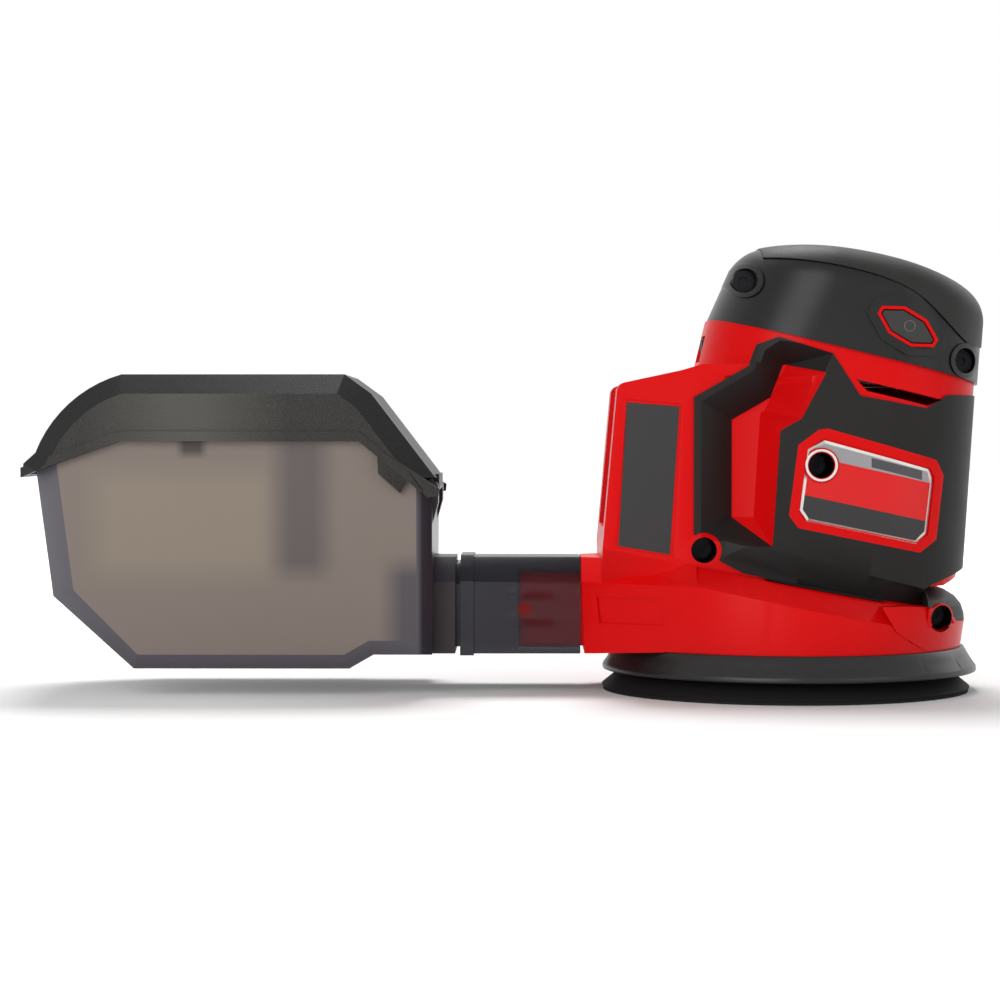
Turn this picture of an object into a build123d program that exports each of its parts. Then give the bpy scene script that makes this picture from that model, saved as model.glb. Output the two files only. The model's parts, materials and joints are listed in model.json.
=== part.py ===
from build123d import *
import os
from math import acos, atan2, cos, hypot, pi, radians, sin

# Cordless random-orbit sander with a clip-on dust canister, millimetres, +Z up.
# The origin is the centre of the work face, +X the front of the tool and -X the canister end.
# The right-hand side of the tool is -Y.

os.makedirs("parts", exist_ok=True)

# ---------------------------------------------------------------- driving dimensions

# sanding pad and orbit
pad_diameter = 125.0
orbit_radius = 1.2
hook_thickness = 1.2
foam_thickness = 5.8
foam_rim_height = 1.8
foam_rim_step = 3.2
backing_thickness = 3.0
backing_inset = 9.5
dust_hole_diameter = 10.0
dust_hole_circle = 65.0
dust_hole_count = 8
pad_hub_height = 1.8
pad_hub_diameter = 26.0

# pad bearing (12 x 28 x 8) and spindle
pad_bearing_bore = 12.0
pad_bearing_outer = 28.0
pad_bearing_width = 8.0
spindle_flange_diameter = 17.0
spindle_flange_thickness = 1.5
running_clearance = 0.03
fit_clearance = 0.2
body_gap = 0.4

# pad screw
pad_screw_diameter = 6.0
pad_screw_head_diameter = 13.0
pad_screw_head_height = 3.0
pad_washer_diameter = 18.0
pad_washer_thickness = 1.0

# fan with counterweight
fan_diameter = 78.0
fan_disc_thickness = 2.0
fan_blade_height = 6.5
fan_blade_thickness = 1.6
fan_blade_count = 9
fan_blade_sweep = 28.0
fan_hub_diameter = 19.0
eccentric_wall = 3.0
counterweight_radius = 31.0
counterweight_height = 4.5
counterweight_angle = 150.0
fan_chamber_gap = 3.5

# motor
shaft_diameter = 8.0
lower_bearing_outer = 22.0
lower_bearing_width = 7.0
upper_bearing_outer = 19.0
upper_bearing_width = 6.0
upper_journal_diameter = 6.0
motor_diameter = 50.0
motor_frame_wall = 2.0
motor_height = 29.0
stator_stack_height = 14.0
stator_tooth_count = 9
rotor_diameter = 26.0
air_gap = 0.5
magnet_thickness = 2.5

# housing
wall = 3.4
base_clearance = 5.5
base_inset = 0.2
deck_room = 7.4
deck_thickness = 5.0
bearing_lip = 0.8
base_shoulder = 8.0
base_crown_drop = 6.5
base_top_slope = -0.19
base_top_rear_z = 49.4
bumper_proud = 1.2
bumper_top = 34.6
bumper_bottom = 22.7
bumper_round = 4.5
bumper_start_x = 43.0
duct_drop = 2.0
duct_height = 32.0
duct_half_width = 22.0
duct_wall = 2.2
port_reach = 11.0
barrel_low_z = 24.0
barrel_high_z = 130.0
barrel_front_low = 57.8
barrel_front_high = 64.6
barrel_rear_low = -51.5
barrel_rear_high = -25.8
barrel_half_width = 40.6
barrel_corner = 34.0
block_half_width = 38.5
block_rear_top_x = -58.5
block_rear_bottom_x = -63.4
block_top_rear_z = 103.4
block_top_front_z = 109.9
block_top_front_x = -30.7
block_edge_radius = 3.0
block_step_run = 6.8
block_step_drop = 2.0
chin_low_z = 35.5
chin_rear_half_width = 24.0
chin_front_half_width = 47.0
chin_front_x = -14.0
seam_rear_x = -26.5
seam_rear_z = 125.4
seam_front_x = 63.9
seam_front_z = 103.4

# waist between barrel and base, and the notch at its front
waist_tip_x = 49.8
waist_tip_z = 34.2
waist_slope = -0.25
waist_inset = 4.0
waist_drop = 12.0
notch_rise = 0.42
notch_fall = 0.23

# finger recess on each side
recess_floor_y = 29.5
recess_mouth_y = 40.5
recess_slopes = (13.0, 12.8, 10.9, 9.3, 7.5, 11.3, 8.0, 6.0, 9.5)

# overmoulded grips
grip_depth = 1.7
grip_proud = 0.5

# bare recesses for plates on the right-hand side
plate_frame_depth = 1.0
plate_frame_width = 3.2
label_depth = 0.5
badge_depth = 0.6

# cap and palm pad
cap_low_z = 100.0
cap_high_z = 152.0
cap_rear_low = -37.8
cap_rear_high = -14.6
cap_front_low = 63.6
cap_front_high = 67.6
cap_half_width_low = 42.4
cap_half_width_high = 40.6
cap_corner = 35.0
crown_radius = 137.0
crown_x = -1.7
crown_top = 149.4
crown_edge_radius = 12.0
cap_wall = 3.2
palm_depth = 1.8
palm_proud = 0.5

# screws through the shells
shell_screw_diameter = 3.5
shell_screw_head_diameter = 7.0
shell_screw_head_height = 2.6
shell_screw_length = 30.0
screw_well_diameter = 8.4
screw_boss_wall = 1.6
screw_seat_y = 16.0
rear_screw_at = (-30.1, 48.8)
middle_screw_at = (8.1, 76.7)
front_screw_at = (48.0, 26.5)
cap_rear_screw_at = (-16.0, 138.0)
cap_front_screw_at = (56.9, 111.2)

# push-through switch
switch_x = 35.9
switch_z = 122.0
switch_tilt = -31.0
bezel_half_length = 10.7
bezel_half_height = 5.1
bezel_end_half_height = 1.4
bezel_flat_half_length = 4.2
bezel_rim = 1.0
bezel_proud = 0.9
bezel_depth = 6.0
switch_border_width = 3.0
switch_border_proud = 0.8
screw_rim_proud = 0.5
switch_travel = 5.0
switch_bar_size = 6.0
switch_body_length = 19.0
switch_body_width = 28.0
button_recess = 0.4
button_depth = 12.0

# control board
board_z = 106.0
board_thickness = 1.6
board_rear_x = -25.5
board_front_x = 45.0
board_half_width = 26.0

# speed dial, a thumb wheel flush with the back of the neck
dial_radius = 11.0
dial_height = 7.5
dial_z = 112.0
dial_notch_count = 18
dial_notch_radius = 0.9
dial_shaft_diameter = 6.0

# battery foot
foot_mouth_width = 50.0
foot_slot_width = 60.0
foot_lip = 4.0
foot_depth = 14.0
foot_floor_z = 56.0
terminal_block_height = 16.0
terminal_count = 4
terminal_pitch = 11.0
terminal_thickness = 0.8

# brake skirt
skirt_overhang = 1.0
skirt_flare = 4.3
skirt_height = 10.0
skirt_rim_height = 2.4
skirt_wall = 2.0
skirt_flange_thickness = 2.0
skirt_spigot_height = 3.0

# dust port and snap sleeve
spigot_length = 22.0
port_clearance = 0.5
port_wall = 2.0
sleeve_length = 36.0
sleeve_wall = 2.0
collar_length = 4.6
collar_proud = 0.6
collar_groove = 1.6
snap_width = 9.0
snap_length = 17.0
snap_slot = 1.6
snap_nub = 6.0
snap_z = 28.0

# canister
canister_half_width = 41.0
canister_neck_length = 7.3
canister_length = 129.5
canister_foot_length = 123.8
canister_floor_length = 98.5
canister_floor_start = 27.3
canister_knee_z = 33.3
canister_bottom_z = 9.6
canister_step_run = 8.0
canister_neck_bottom_z = 14.2
canister_wall = 2.0
canister_edge = 5.0
rim_left_z = 74.6
rim_shoulder_length = 101.8
rim_top_z = 85.4
rim_top_start = 23.5
rim_right_z = 67.2

# lid
lid_half_width = 44.0
lid_wall = 2.0
lid_top_z = 106.8
lid_length = 132.0
lid_left_z = 79.4
lid_top_length = 102.5
lid_top_start = 28.5
lid_edge = 6.5
lid_overlap = 3.0
lid_lip_length = 4.5
hinge_offset = 0.3
hinge_z = 69.4
hinge_knuckle_radius = 3.0
hinge_pin_radius = 1.25
hinge_lug_half_span = 30.0
hinge_lug_width = 9.0

# filter cassette
filter_start = 52.5
filter_length = 61.0
filter_bottom_z = 42.0
filter_top_z = 75.0
filter_half_width = 35.0
filter_frame_wall = 2.2
pleat_count = 9
pleat_thickness = 1.2
ledge_thickness = 2.0
louvre_count = 5
louvre_height = 2.2
louvre_pitch = 6.0

# ---------------------------------------------------------------- derived sizes

pad_radius = pad_diameter / 2
backing_diameter = 2 * (pad_radius - backing_inset)
skirt_bottom_radius = pad_radius + skirt_overhang
skirt_top_radius = skirt_bottom_radius - skirt_flare
base_radius = skirt_top_radius - base_inset
drive_x = orbit_radius
foam_top = hook_thickness + foam_thickness
backing_top = foam_top + backing_thickness
spindle_bottom = backing_top + pad_hub_height
bearing_bottom = spindle_bottom + spindle_flange_thickness + body_gap
bearing_top = bearing_bottom + pad_bearing_width
pocket_top = bearing_top + body_gap
fan_disc_bottom = pocket_top
fan_disc_top = fan_disc_bottom + fan_disc_thickness
base_bottom = backing_top + base_clearance
skirt_bottom_z = base_bottom - skirt_height
duct_bottom = base_bottom - duct_drop
duct_top = duct_bottom + duct_height
deck_bottom = fan_disc_top + counterweight_height + deck_room
deck_top = deck_bottom + deck_thickness
lower_bearing_bottom = deck_top - lower_bearing_width
fan_radius = fan_diameter / 2
fan_chamber_radius = fan_radius + fan_chamber_gap
motor_bottom = deck_top
motor_top = motor_bottom + motor_height
upper_bearing_top = motor_top - motor_frame_wall
upper_bearing_bottom = upper_bearing_top - upper_bearing_width
stack_bottom = motor_bottom + motor_frame_wall + 3.5
stack_top = stack_bottom + stator_stack_height
seam_slope = (seam_front_z - seam_rear_z) / (seam_front_x - seam_rear_x)
duct_end_x = -base_radius - port_reach
spigot_end_x = duct_end_x - spigot_length
sleeve_end_x = duct_end_x - sleeve_length
collar_end_x = sleeve_end_x - collar_length
neck_end_x = collar_end_x - collar_groove
canister_right_x = neck_end_x - canister_neck_length
canister_left_top_x = canister_right_x - canister_length
canister_left_low_x = canister_right_x - canister_foot_length
canister_bottom_left_x = canister_right_x - canister_floor_length
canister_step_x = canister_right_x - canister_floor_start
rim_shoulder_x = canister_right_x - rim_shoulder_length
rim_right_x = canister_right_x - rim_top_start
lid_left_x = canister_right_x - lid_length
lid_top_left_x = canister_right_x - lid_top_length
lid_top_right_x = canister_right_x - lid_top_start
hinge_x = canister_right_x + hinge_offset
filter_right_x = canister_right_x - filter_start
filter_left_x = filter_right_x - filter_length
far = 400.0


# ---------------------------------------------------------------- helpers

def side_face(points):
    """A face drawn in the side view: points are (x, z)."""
    return Plane.XZ * make_face(Polyline(*points, close=True))


def side_prism(points, half_width=far):
    """A side-view outline carried across the tool's width."""
    return extrude(side_face(points), amount=half_width, both=True)


def drum(x, y, radius, low, high):
    """An upright cylinder between two heights."""
    return Pos(x, y, (low + high) / 2) * Cylinder(radius, high - low)


def block(x0, x1, y0, y1, z0, z1):
    """A box given by its limits."""
    return Pos((x0 + x1) / 2, (y0 + y1) / 2, (z0 + z1) / 2) * Box(x1 - x0, y1 - y0, z1 - z0)


def cross_rod(x, z, radius, y0, y1):
    """A cylinder that lies across the tool."""
    return Pos(x, (y0 + y1) / 2, z) * Rot(90, 0, 0) * Cylinder(radius, abs(y1 - y0))


def turned(profile, x=0.0):
    """A solid of revolution about the upright axis at x; profile points are (radius, z)."""
    return Pos(x, 0, 0) * revolve(side_face(profile), Axis.Z)


def mirrored(solid):
    """The same form on the other side of the tool."""
    return mirror(solid, about=Plane.XZ)


def crossing(first, second):
    """Where two lines meet; each is (nx, nz, d) with nx * x + nz * z = d."""
    (n1x, n1z, d1), (n2x, n2z, d2) = first, second
    det = n1x * n2z - n1z * n2x
    return (d1 * n2z - d2 * n1z) / det, (n1x * d2 - n2x * d1) / det


def edge_line(start, end, shift):
    """The line through an edge, moved to its right by shift."""
    length = hypot(end[0] - start[0], end[1] - start[1])
    nx, nz = (end[1] - start[1]) / length, (start[0] - end[0]) / length
    return nx, nz, nx * start[0] + nz * start[1] + shift


def grown_outline(points, distance):
    """An outline with every edge moved outward by distance."""
    edges = list(zip(points, points[1:] + points[:1]))
    turn = 1 if sum(a[0] * b[1] - b[0] * a[1] for a, b in edges) > 0 else -1
    lines = [edge_line(a, b, turn * distance) for a, b in edges]
    return [crossing(lines[i - 1], lines[i]) for i in range(len(lines))]


def seam_z(x):
    """Height of the slanted joint between the red shells and the cap."""
    return seam_rear_z + seam_slope * (x - seam_rear_x)


def half(solid, side):
    """One moulded half: side +1 keeps +Y (left), -1 keeps -Y (right)."""
    keep = block(-far, far, 0, far, -far, far) if side > 0 else block(-far, far, -far, 0, -far, far)
    return solid & keep


# ---------------------------------------------------------------- outer forms

def rounded_plan(rear, front, half_width, corner, z):
    return Pos((rear + front) / 2, 0, z) * RectangleRounded(front - rear, 2 * half_width, corner)


def barrel_form(grow=0.0):
    """The upright body round the motor, leaning and widening upward."""
    low = rounded_plan(barrel_rear_low - grow, barrel_front_low + grow,
                       barrel_half_width + grow, barrel_corner + grow, barrel_low_z)
    high = rounded_plan(barrel_rear_high - grow, barrel_front_high + grow,
                        barrel_half_width + grow, barrel_corner + grow, barrel_high_z)
    return loft([low, high], ruled=True)


def base_top_z(x):
    """Height of the base's falling top, which is also the rear block's lower edge."""
    return base_top_rear_z + base_top_slope * (x - block_rear_bottom_x)


def block_outline():
    return [
        (block_rear_top_x, block_top_rear_z),
        (block_rear_bottom_x, base_top_z(block_rear_bottom_x)),
        (0.0, base_top_z(0.0)),
        (0.0, block_top_front_z),
        (block_top_front_x, block_top_front_z),
        (block_top_front_x - block_step_run, block_top_front_z - block_step_drop),
    ]


def cross_quad(rear, front):
    """A four-cornered face across the tool; rear and front are (x, half width, z)."""
    (x0, w0, z0), (x1, w1, z1) = rear, front
    return make_face(Polyline((x0, -w0, z0), (x0, w0, z0), (x1, w1, z1), (x1, -w1, z1), close=True))


def rear_block_form(grow=0.0):
    """The battery foot's block behind the barrel, with the chin that leads into the base."""
    width = block_half_width + grow
    body = side_prism(grown_outline(block_outline(), grow), width)
    rear_edges = body.edges().filter_by(Axis.Y).sort_by(Axis.X)[:2]
    body = fillet(rear_edges.sort_by(Axis.Z)[-1], block_edge_radius)
    rear_x = block_rear_bottom_x - grow
    lap = 1.1 * abs(grow)
    upper = cross_quad((rear_x, width, base_top_z(rear_x) + lap), (chin_front_x, width, base_top_z(chin_front_x) + lap))
    lower = cross_quad((rear_x, chin_rear_half_width + grow, chin_low_z),
                       (chin_front_x, chin_front_half_width + grow, chin_low_z - 1.0))
    return body + loft([lower, upper], ruled=True)


def base_touch(grow=0.0):
    """Where the wall from the dust port's corner touches the round of the base, as (x, y)."""
    corner_x = duct_end_x - grow
    corner_y = duct_half_width + grow
    radius = base_radius + grow
    reach = hypot(corner_x - drive_x, corner_y)
    angle = atan2(corner_y, corner_x - drive_x) - acos(radius / reach)
    return drive_x + radius * cos(angle), radius * sin(angle)


def base_plan(grow=0.0):
    """Round over the pad, drawn in along two tangents to the dust port at the back."""
    corner_x = duct_end_x - grow
    corner_y = duct_half_width + grow
    touch_x, touch_y = base_touch(grow)
    return make_face([
        Line((corner_x, -corner_y), (corner_x, corner_y)),
        Line((corner_x, corner_y), (touch_x, touch_y)),
        ThreePointArc((touch_x, touch_y), (drive_x + base_radius + grow, 0), (touch_x, -touch_y)),
        Line((touch_x, -touch_y), (corner_x, -corner_y)),
    ])


def side_band_cut(grow=0.0):
    """What lies above the slanted band that runs from the port's corner to the round, left side."""
    touch_x, touch_y = base_touch()
    port = Vector(duct_end_x, duct_half_width, duct_top - base_shoulder)
    port_lip = Vector(duct_end_x, duct_half_width - base_shoulder, duct_top)
    touch = Vector(touch_x, touch_y, base_top_z(touch_x) - base_crown_drop)
    outward = (port_lip - port).cross(touch - port).normalized()
    plane = Plane(origin=port + outward * grow, z_dir=outward)
    return plane * Pos(0, 0, far / 2) * Box(far, far, far)


def crown_cut(grow=0.0):
    """What the round of the base loses above its sloping shoulder."""
    lean = -atan2(base_top_slope, 1.0) * 180 / pi
    drop = base_crown_drop
    kept = Pos(0, 0, -drop / 2) * Cone(base_radius + grow, base_radius - drop + grow, drop)
    ring_cut = Pos(0, 0, -drop / 2) * Cylinder(2 * base_radius, drop) - kept
    placed = Pos(drive_x, 0, base_top_z(drive_x) + grow) * Rot(0, lean, 0) * ring_cut
    return placed & block(base_touch(grow)[0], far, -far, far, 0, far)


def base_form(grow=0.0):
    """The base: the hull of pad ring and port, under a top that falls to the front."""
    body = Pos(0, 0, duct_bottom) * extrude(base_plan(grow), amount=duct_height + 3 * base_shoulder)
    body -= side_prism([
        (-far, base_top_z(-far) + grow), (far, base_top_z(far) + grow), (far, far), (-far, far),
    ])
    band = side_band_cut(grow)
    fold_x = block_rear_bottom_x + (duct_top - base_top_rear_z) / base_top_slope
    body = body - crown_cut(grow) - band - mirrored(band)
    return body - block(-far, fold_x, -far, far, duct_top + grow, far)


def bumper_form(grow=0.0):
    """Rounded bumper that stands up round the front of the base."""
    ring_body = drum(drive_x, 0, base_radius + bumper_proud + grow, base_bottom + base_shoulder, bumper_top + grow)
    ring_body = fillet(ring_body.edges().sort_by(Axis.Z)[-1], bumper_round + grow)
    return ring_body & block(bumper_start_x - grow, far, -far, far, 0, far)


def edge_inset(points, insets):
    """A clockwise outline with each edge moved inward by its own distance, parallel to itself."""
    edges = zip(points, points[1:] + points[:1], insets)
    lines = [edge_line(a, b, inset) for a, b, inset in edges]
    return [crossing(lines[i - 1], lines[i]) for i in range(len(lines))]


def recess_mouth():
    """Outline of the finger recess where it opens, clockwise from the lower rear corner."""
    return [
        (-33.5, 50.0), (-33.5, 99.0), (-15.5, 109.4), (-12.9, 116.3), (-5.9, 118.8), (11.8, 113.3),
        (1.6, 92.0), (-5.4, 88.0), (-7.8, 50.0),
    ]


def recess_floor():
    """Outline of its floor: each wall slopes in by its own amount."""
    return edge_inset(recess_mouth(), recess_slopes)


def finger_recess(grow=0.0):
    """The finger recess between battery foot and barrel, right-hand side."""
    mouth = Pos(0, -recess_mouth_y, 0) * side_face(recess_mouth())
    walls = loft([Pos(0, -recess_floor_y, 0) * side_face(recess_floor()), mouth], ruled=True)
    return Pos(0, -grow, 0) * (walls + extrude(mouth, amount=recess_mouth_y - recess_floor_y))


def waist_cut(grow=0.0):
    """What the barrel loses where it draws in below its lower crease."""
    lean = atan2(-waist_slope, 1.0) * 180 / pi
    top = rounded_plan(-70.0, barrel_front_low + grow, barrel_half_width + grow, barrel_corner + grow, 0)
    low = rounded_plan(-70.0, barrel_front_low - waist_inset + grow, barrel_half_width - waist_inset + grow,
                       barrel_corner - waist_inset + grow, -waist_drop)
    kept = loft([low, top], ruled=True)
    slab = block(-40, far, -far, far, -waist_drop + 0.01, 0)
    z = waist_tip_z - waist_slope * waist_tip_x
    return Pos(0, 0, z) * Rot(0, lean, 0) * (slab - kept)


def front_notch(grow=0.0):
    """The open notch under the front of the barrel, above the bumper."""
    reach = far - waist_tip_x
    points = [(waist_tip_x, waist_tip_z), (far, waist_tip_z + notch_rise * reach), (far, waist_tip_z - notch_fall * reach)]
    return side_prism(grown_outline(points, -grow))


def shell_form(grow=0.0):
    """The whole red body below the cap, moved outward by grow."""
    body = barrel_form(grow) - waist_cut(grow) + rear_block_form(grow) + base_form(grow) + bumper_form(grow)
    recess = finger_recess(grow)
    return body - recess - mirrored(recess) - front_notch(grow)


def below_seam():
    return side_prism([(-far, seam_z(-far)), (far, seam_z(far)), (far, -far), (-far, -far)])


def above_seam():
    return side_prism([(-far, seam_z(-far)), (far, seam_z(far)), (far, far), (-far, far)])


def cap_form(grow=0.0):
    """The domed cap: tapered plan, arched crown and a well rounded edge."""
    low = rounded_plan(cap_rear_low - grow, cap_front_low + grow,
                       cap_half_width_low + grow, cap_corner + grow, cap_low_z)
    high = rounded_plan(cap_rear_high - grow, cap_front_high + grow,
                        cap_half_width_high + grow, cap_corner + grow, cap_high_z)
    crown = cross_rod(crown_x, crown_top - crown_radius, crown_radius + grow, -far / 2, far / 2)
    body = loft([low, high], ruled=True) & crown
    rim = body.faces().sort_by(Axis.Z)[-1]
    return fillet(rim.edges(), crown_edge_radius + grow)


# ---------------------------------------------------------------- overmoulded grips

def grip_outline():
    """Outer edge of the dark overmould in the side view."""
    return [
        (-33.5, 99.0), (-15.5, 109.4), (-12.9, 116.3), (-5.9, 118.8), (11.8, 113.3), (20.7, 99.5),
        (42.8, 95.4), (50.4, 99.8), (far, 99.8), (far, bumper_bottom), (52.0, bumper_bottom),
        (43.0, 30.2), (22.8, 33.3), (-3.3, 38.3), (-17.3, 41.3), (-25.0, 45.3), (-25.0, 49.5),
        (-29.0, 53.8), (-33.5, 53.8),
    ]


def grip_window():
    """The red panel left open inside the overmould: the recess's floor and front wall."""
    return recess_floor()[:5] + [(9.7, 107.1)] + recess_mouth()[6:]


def plate_outline():
    """The frame round the rating plate's place, on the right-hand side."""
    return [
        (-2.5, 60.3), (0.5, 83.4), (7.3, 88.4), (10.3, 88.7), (46.5, 78.4), (49.2, 73.3),
        (46.7, 52.2), (40.9, 48.0), (0.5, 56.2),
    ]


def grip_solid(side):
    """The overmould skin on one shell."""
    skin = half(shell_form(grip_proud), side) - shell_form(-grip_depth)
    skin = skin & side_prism(grip_outline()) & below_seam()
    skin -= side_prism(grip_window())
    for place in (front_screw_at, middle_screw_at, rear_screw_at):
        skin -= cross_rod(*place, screw_well_diameter / 2 + screw_boss_wall, -far, far)
    skin -= vent_slots()
    if side < 0:
        skin -= side_prism(plate_outline())
    return skin.solids().sort_by(SortBy.VOLUME)[-1]


def vent_slots():
    """The narrow cooling slot under the cap on each side."""
    return side_prism([(19.2, 105.0), (48.3, 98.2), (43.3, 96.2), (23.0, 101.0)])


def plate_frame():
    """The raised red frame, level with the overmould round it."""
    return (shell_form(grip_proud) - shell_form(-wall)) & half(side_prism(plate_outline()), -1)


def label_outline():
    """The bare label's recess on the side of the battery foot."""
    return [(-55.5, 98.4), (-37.5, 96.9), (-40.0, 46.4), (-58.9, 49.6)]


def badge_outline():
    """The bare badge's recess beside the dust port."""
    return [(-65.0, 24.0), (-65.0, 32.7), (-44.0, 32.7), (-44.0, 24.0)]


def bare_recesses():
    """Shallow recesses on the right-hand side for a rating plate, a label and a badge."""
    side = block(-far, far, -far, -chin_rear_half_width / 2, 0, far)
    plate = side_prism(grown_outline(plate_outline(), -plate_frame_width)) - barrel_form(grip_proud - plate_frame_depth)
    label = side_prism(label_outline()) - block(-far, far, -block_half_width + label_depth, far, 0, far)
    badge = side_prism(badge_outline()) - base_form(-badge_depth)
    return (plate & block(-far, far, -far, -barrel_half_width / 2, 0, far)) + label + (badge & side)


# ---------------------------------------------------------------- housing halves

def duct_outline(grow=0.0):
    """Cross-section of the dust duct, points (y, z), with the sloped upper corners."""
    w = duct_half_width
    points = [
        (-w, duct_bottom), (w, duct_bottom),
        (w, duct_top - base_shoulder), (w - base_shoulder, duct_top),
        (-w + base_shoulder, duct_top), (-w, duct_top - base_shoulder),
    ]
    return grown_outline(points, grow)


def duct_run(x0, x1, grow=0.0):
    """The duct's cross-section carried from x0 to x1."""
    face = Plane.YZ.offset(x0) * make_face(Polyline(*duct_outline(grow), close=True))
    return extrude(face, amount=x1 - x0)


def foot_face_x(z):
    """The battery foot's leaning rear face."""
    lean = (block_rear_top_x - block_rear_bottom_x) / (block_top_rear_z - base_top_rear_z)
    return block_rear_top_x + lean * (z - block_top_rear_z)


def foot_layer(depth0, depth1, half_width, low, high):
    """A slab that follows the leaning face, between two depths under it."""
    return side_prism([
        (foot_face_x(low) + depth0, low), (foot_face_x(low) + depth1, low),
        (foot_face_x(high) + depth1, high), (foot_face_x(high) + depth0, high),
    ], half_width)


def battery_slot(grow=0.0):
    """T-shaped slot that takes the battery's rails, open at the top."""
    top = block_top_front_z + 15.0
    mouth = foot_layer(-8.0, foot_lip + 1.0, foot_mouth_width / 2 + grow, foot_floor_z - grow, top)
    rails = foot_layer(foot_lip, foot_depth + grow, foot_slot_width / 2 + grow, foot_floor_z - grow, top)
    return mouth + rails


def screw_well(place, depth_y=-screw_seat_y):
    """Stepped hole for a shell screw that comes in from the right-hand side."""
    well = cross_rod(*place, screw_well_diameter / 2, -far, depth_y)
    shank = cross_rod(*place, shell_screw_diameter / 2 + fit_clearance, depth_y - 1, 0)
    pilot = cross_rod(*place, shell_screw_diameter / 2, 0, shell_screw_length - screw_seat_y)
    return well + shank + pilot


def screw_boss(place, side):
    """Boss round a shell screw: wide round the well, narrow where the thread bites."""
    if side < 0:
        return cross_rod(*place, screw_well_diameter / 2 + screw_boss_wall, -far, 0)
    radius = shell_screw_diameter / 2 + screw_boss_wall
    return cross_rod(*place, radius, 0, shell_screw_length - screw_seat_y + screw_boss_wall)


def housing_cavity():
    """Room inside the shells for motor, electronics and the battery foot's wiring."""
    recess = finger_recess(-wall)
    room = barrel_form(-wall) & block(-far, far, -far, far, deck_top, far)
    behind = rear_block_form(-wall) & block(-far, 0, -far, far, duct_top + 1.5, far)
    room = room + behind - recess - mirrored(recess) - front_notch(-wall) - waist_cut(-wall) - battery_slot(wall)
    gallery = base_form(-wall) & block(barrel_rear_low + 15, far, -far, far, base_bottom + wall, deck_bottom - 6)
    gallery -= drum(drive_x, 0, fan_chamber_radius + duct_wall, 0, far)
    return room + gallery


def motor_seat():
    """Collar on the deck that centres the motor, and the lower bearing's boss under it."""
    collar = drum(drive_x, 0, motor_diameter / 2 + fit_clearance + 2.4, deck_top - 1, deck_top + 6)
    collar -= drum(drive_x, 0, motor_diameter / 2 + fit_clearance, deck_top, far)
    boss_low = lower_bearing_bottom - bearing_lip
    boss = drum(drive_x, 0, lower_bearing_outer / 2 + 2.5, boss_low, deck_bottom + 1)
    return collar + boss


def board_ledges():
    """Ribs on the side walls that carry the control board."""
    rib = block(board_rear_x + 12, board_front_x - 4, board_half_width - 2, far, board_z - 2.5, board_z)
    return (rib + mirrored(rib)) & barrel_form(-wall / 2)


def dial_axis_x():
    """The dial's axis, set so that its rim lies flush with the neck's back."""
    lean = (barrel_rear_high - barrel_rear_low) / (barrel_high_z - barrel_low_z)
    neck_x = barrel_rear_low + lean * (dial_z + dial_height / 2 - barrel_low_z)
    return neck_x + dial_radius + 0.3


def dial_window():
    x = dial_axis_x()
    wide = dial_radius - 0.5
    return block(x - dial_radius - 6, x, -wide, wide, dial_z - body_gap - 0.3, dial_z + dial_height + body_gap + 0.3)


def port_spigot():
    """Tube on the base's back end that the sleeve slides over, with its two snap nubs."""
    fit = -sleeve_wall - port_clearance
    tube = duct_run(spigot_end_x, duct_end_x + 1, fit)
    nub_x = spigot_end_x + snap_nub / 2 + 0.6
    nub_y = duct_half_width + fit
    nub = Pos(nub_x, 0, snap_z) * Box(snap_nub, 2 * nub_y + 2 * (port_clearance - 0.1), snap_nub)
    return tube + nub


def skirt_slant():
    """How far the skirt flares for each millimetre of drop."""
    return skirt_flare / (skirt_height - skirt_rim_height)


def housing_bores():
    """Everything that passes through or into both shells."""
    voids = drum(drive_x, 0, fan_chamber_radius, 0, deck_bottom)
    voids += duct_run(spigot_end_x - 1, drive_x - fan_chamber_radius + 4, -sleeve_wall - port_clearance - port_wall)
    voids += drum(drive_x, 0, skirt_top_radius + skirt_flange_thickness * skirt_slant() + fit_clearance, 0, base_bottom)
    return voids


def housing_half(side, grip):
    """One red shell half."""
    body = half(shell_form() & below_seam(), side)
    body -= housing_cavity()
    body -= battery_slot()
    body -= half(drum(drive_x, 0, fan_chamber_radius, 0, deck_bottom), side)
    body += half(motor_seat() + board_ledges(), side)
    places = (rear_screw_at, middle_screw_at, front_screw_at)
    for place in places:
        body += half(screw_boss(place, side) & shell_form(-0.01), side)
    body += half(port_spigot(), side)
    if side < 0:
        body += plate_frame()
        body -= bare_recesses()
        body += screw_boss(middle_screw_at, side) & barrel_form(grip_proud - plate_frame_depth / 2)
    body -= housing_bores()
    body += half(motor_seat() & block(-far, far, -far, far, 0, deck_bottom), side)
    seat = drum(drive_x, 0, lower_bearing_outer / 2, lower_bearing_bottom, deck_top + 0.01)
    seat += drum(drive_x, 0, lower_bearing_outer / 2 - 1.5, lower_bearing_bottom - 3, lower_bearing_bottom)
    body -= seat
    for place in places:
        body -= screw_well(place)
    body = body - vent_slots() - dial_window() - grip
    return body.solids().sort_by(SortBy.VOLUME)[-1]


# ---------------------------------------------------------------- cap, palm pad

def palm_region():
    """Side view of what the rubber palm pad covers."""
    edge = Spline((-10.2, 145.4), (19.3, 141.0), (39.9, 132.5), (55.4, 118.7), (59.0, 116.0))
    outline = [
        edge,
        Line((59.0, 116.0), (far, 116.0)),
        Line((far, 116.0), (far, far)),
        Line((far, far), (-10.8, far)),
        Line((-10.8, far), (-10.2, 145.4)),
    ]
    return extrude(Plane.XZ * make_face(outline), amount=far, both=True)


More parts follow.
